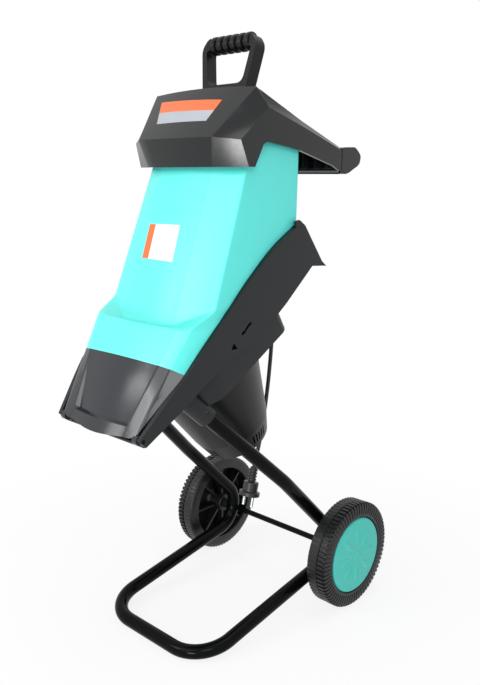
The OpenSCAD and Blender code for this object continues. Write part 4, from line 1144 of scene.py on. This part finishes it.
@dataclass(frozen=True)
class HubCap:
    """A domed hub cap with raised petals, drawn round the X axis from its wheel's inner face.

    Attributes:
        radius: Radius of the cap.
        wall: Its wall.
        core_r: Radius of its innermost ring.
        face_x: Place of the face along X, before its dome.
        foot_x: Place of the rim's foot along X.
        dome_rise: How far the dome rises in the middle.
        border_curve: How fast the border curves back towards the foot.
        petals: Number of petals.
        petal_from: Radius at which a petal starts.
        petal_to: Radius at which a petal ends.
        petal_half_w: Half width of a petal at its widest.
        petal_skew: Power that moves a petal's widest place outwards.
        petal_edge: Width of a petal's sloping edge.
        petal_rise: Height of a petal.
        boss_r: Radius of the boss in the middle.
        boss_edge: Width of the boss's sloping edge.
        boss_rise: Height of the boss.
        steps: Points round each ring.
    """

    radius: float = 64.0
    wall: float = 3.0
    core_r: float = 0.4
    face_x: float = 38.5
    foot_x: float = 32.4
    dome_rise: float = 0.7
    border_curve: float = 0.28
    petals: int = 8
    petal_from: float = 13.0
    petal_to: float = 50.0
    petal_half_w: float = 6.5
    petal_skew: float = 1.4
    petal_edge: float = 3.2
    petal_rise: float = 1.3
    boss_r: float = 9.0
    boss_edge: float = 3.0
    boss_rise: float = 0.9
    steps: int = 192

    def _face(self, r: float) -> np.ndarray:
        """Draws the face along one circle.

        Args:
            r: Radius of the circle.

        Returns:
            The face's X at each step round.
        """
        turns = np.linspace(0, self.petals, self.steps + 1)[:-1]
        aside = np.abs((turns + 0.5) % 1 - 0.5) * 2 * math.pi / self.petals * r
        along = min(1.0, max(0.0, (r - self.petal_from) / (self.petal_to - self.petal_from)))
        half = self.petal_half_w * math.sin(math.pi * along ** self.petal_skew)
        rise = np.clip((half - aside) / self.petal_edge, 0, 1)
        boss = min(1.0, max(0.0, (self.boss_r - r) / self.boss_edge))
        border = max(0.0, r - self.radius + self.wall)
        dome = self.dome_rise * (1 - (r / self.radius) ** 2) - border ** 2 * self.border_curve
        return self.face_x + dome + self.petal_rise * rise ** 2 * (3 - 2 * rise) + self.boss_rise * boss

    def build(self, name: str) -> Piece:
        """Builds the cap.

        Args:
            name: Name of the piece.

        Returns:
            The cap.
        """
        outer, inner, back = self.radius, self.radius - self.wall, self.face_x - self.wall
        radii = [*np.linspace(self.core_r, inner, 48), outer - 1.6, outer - 0.5, outer]
        under = [(self.foot_x, outer), (self.foot_x, inner), (back, inner), (back, self.core_r)]
        cap = loft(name, spin([(self._face(r), r) for r in radii] + under, self.steps))
        soften(cap, 0, angle=50)
        return cap


@dataclass(frozen=True)
class RunningGear:
    """Wheels, hub caps, axle and what holds them.

    Attributes:
        inner_x: Distance from the middle to a wheel's inner face.
        width: Width of a wheel.
        radius: Radius over the tread.
        band_r: Radius of the plain band along the inner half of the tread.
        groove_r: Radius between the lugs of the outer half.
        lug_rows: Low end, high end and top radius of the deep outer lugs and of the shallow inner ones.
        lug_half: Half width of a lug.
        lug_count: Lugs in one row, and ribs down a sidewall.
        spokes: Number of spokes.
    """

    inner_x: float = 136.0
    width: float = 38.0
    radius: float = 90.0
    band_r: float = 89.2
    groove_r: float = 87.2
    lug_rows: tuple[Point, ...] = ((22.5, 35.0, 90.0), (3.0, 19.5, 89.6))
    lug_half: float = 2.5
    lug_count: int = 72
    spokes: int = 8

    def _place(self, piece: Piece, side: int) -> Piece:
        """Moves a piece drawn round the X axis to its wheel.

        Args:
            piece: The piece.
            side: One for the right wheel, minus one for the left.

        Returns:
            The same piece.
        """
        place = Matrix.Translation(Vector((side * self.inner_x, AXLE_Y, self.radius)) * MM)
        piece.data.transform(place @ Matrix.Diagonal((side, 1, 1, 1)))
        tidy(piece)
        return piece

    def _rib(self, name: str) -> Piece:
        """Makes one rib that runs down the sidewall from a lug.

        Args:
            name: Name of the piece.

        Returns:
            The rib.
        """
        w = self.width
        points = [(w - 1, -2.1, 69), (w - 1, 2.1, 69), (w - 4, 2.7, 88), (w - 4, -2.7, 88),
                  (w + 1, -1.6, 71), (w + 1, 1.6, 71), (w + 1, 2, 82), (w + 1, -2, 82),
                  (w - 1.2, 2.2, 88.2), (w - 1.2, -2.2, 88.2)]
        return mesh_piece(name, points, [(0, 1, 5, 4), (4, 5, 6, 7), (7, 6, 8, 9), (9, 8, 2, 3),
                                         (1, 2, 8, 6, 5), (0, 4, 7, 9, 3), (0, 3, 2, 1)])

    def _wheel(self, model: Model, side: int, name: str) -> None:
        """Builds one wheel with its tread, sidewall ribs and spokes.

        Args:
            model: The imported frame.
            side: One for the right wheel, minus one for the left.
            name: The wheel's name.
        """
        w, band, groove, half = self.width, self.band_r, self.groove_r, self.lug_half
        profile = [(-2, 5.05), (-2, 14.5), (-0.5, 16), (20, 18.5), (25, 21), (28, 26), (28, 65), (26, 67.6),
                   (1.5, 68.5), (0, 70), (0, 82), (1, 85.5), (2.5, 88), (4.5, band), (20.5, band),
                   (21.6, groove), (w - 6, groove), (w - 3, 86.4), (w - 1, 84.5), (w, 82), (w, 67),
                   (w - 1.2, 65.6), (33, 65.2), (32, 65), (32, 5.05)]
        tyre = loft(f"{name}_tyre", spin(profile, 96), closed=True)
        soften(tyre, 0)
        node = f"{name}_wheel"
        model.stand_for(self._place(tyre, side), node)
        lugs = [block(f"{name}_tread_{row}", (x0, -half, groove - 1.5), (x1, half, top), 0.5)
                for row, (x0, x1, top) in enumerate(self.lug_rows)]
        lugs[1].data.transform(Matrix.Rotation(math.pi / self.lug_count, 4, "X"))
        spoke = block(f"{name}_spokes", (6, -2, 15), (29, 2, 69))
        repeats = [(unit, self.lug_count, 0.0) for unit in (*lugs, self._rib(f"{name}_shoulder"))]
        for unit, count, edge in (*repeats, (spoke, self.spokes, 0.4)):
            EqualRepeat().make(unit, count, Finishes.TREAD, turn=(360 / count, 0, 0))
            soften(unit, edge)
            model.add(self._place(unit, side), model.body_of[node], "wheel_plastic")

    def build(self, model: Model) -> None:
        """Builds the running gear.

        Args:
            model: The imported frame.
        """
        for side, name in ((1, "right"), (-1, "left")):
            self._wheel(model, side, name)
            cap = HubCap().build(f"{name}_cap")
            model.stand_for(self._place(cap, side), f"{name}_hub_cap", Finishes.CAP)
        for node in ("axle", "wheel_spacers", "axle_retainers"):
            model.edged_copy(node, 0.4)


@dataclass(frozen=True)
class CutterDeck:
    """The base housing with its moulded marks, drawn as near-black plates of painted shade, and what is fixed
    in it.

    Attributes:
        edges: Nodes fixed in the deck, with the width of their softened edges.
        side_x: Distance from the middle to the marks.
        marks: Corners along Y and Z of the slot mark's three strokes and of the arrow mark.
    """

    edges: tuple[tuple[str, float], ...] = (
        ("hinge_pins", 0.4), ("leg_screws", 0.5), ("deflector_plate", 0.5), ("interlock_switch", 0.6),
        ("switch_plate", 0.8), ("start_button", 1.2), ("stop_button", 1.2), ("reset_button", 1.0))
    side_x: float = 116.0
    marks: tuple[tuple[Flat, ...], ...] = (
        ((-44.0, 510.5), (-50.5, 507.5), (-51.5, 503.0), (-45.0, 506.0)),
        ((-50.5, 507.5), (-57.5, 501.0), (-57.5, 496.5), (-50.5, 503.0)),
        ((-57.5, 500.0), (-64.0, 497.0), (-65.0, 492.5), (-57.5, 495.5)),
        ((-80.8, 483.8), (-80.8, 483.7), (-73.6, 474.7), (-85.9, 475.3)))

    def build(self, model: Model) -> None:
        """Builds the deck.

        Args:
            model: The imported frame.
        """
        base = model.edged_copy("base_housing", 1.8, 3, 32)
        for node, edge in self.edges:
            model.edged_copy(node, edge)
        # Each mark is a near-black plate of painted shade laid on the housing's side
        for i, outline in enumerate(self.marks):
            mark = conform(f"side_mark_painted_shade_{i}", [(self.side_x, y, z) for y, z in outline], base, 0.15, (4, 3))
            model.add(mark, "chassis", "black_moulding", Finishes.SHADOW)


class NodeGroup(Enum):
    """Nodes that take softened copies of their solids, with the width of the softened edges."""

    FRAME = (0.3, ("frame_tube",))
    MOTOR = (0.8, ("motor_housing", "motor_end_cap", "housing_screws", "cooling_fan"))
    WINDING = (0.5, ("motor_stator", "field_coils", "brush_holders", "carbon_brushes", "armature",
                     "commutator"))
    DRIVE = (0.3, ("upper_bearing", "lower_bearing", "motor_shaft", "cutter_disc", "knives", "knife_screws",
                   "disc_washer", "disc_bolt"))
    KNOB = (1.5, ("locking_knob",))
    STUD = (0.4, ("knob_stud",))

    def build(self, model: Model) -> None:
        """Stands softened copies for the group's nodes.

        Args:
            model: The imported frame.
        """
        edge, names = self.value
        for name in names:
            model.edged_copy(name, edge, angle=30)


def main() -> None:
    """Builds and dresses the shredder."""
    logging.basicConfig(level=logging.INFO, format="%(name)s: %(message)s")
    model = Model(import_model())
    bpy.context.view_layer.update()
    Studio().build()
    assemblies = (PowerLead(), RunningGear(), CutterDeck(), HopperShell(), FeedHood(), Pusher(), *NodeGroup)
    for assembly in assemblies:
        assembly.build(model)
    LOG.info("nodes left as solids: %s", sorted(set(model.nodes) - model.dressed))


if __name__ == "__main__":
    main()
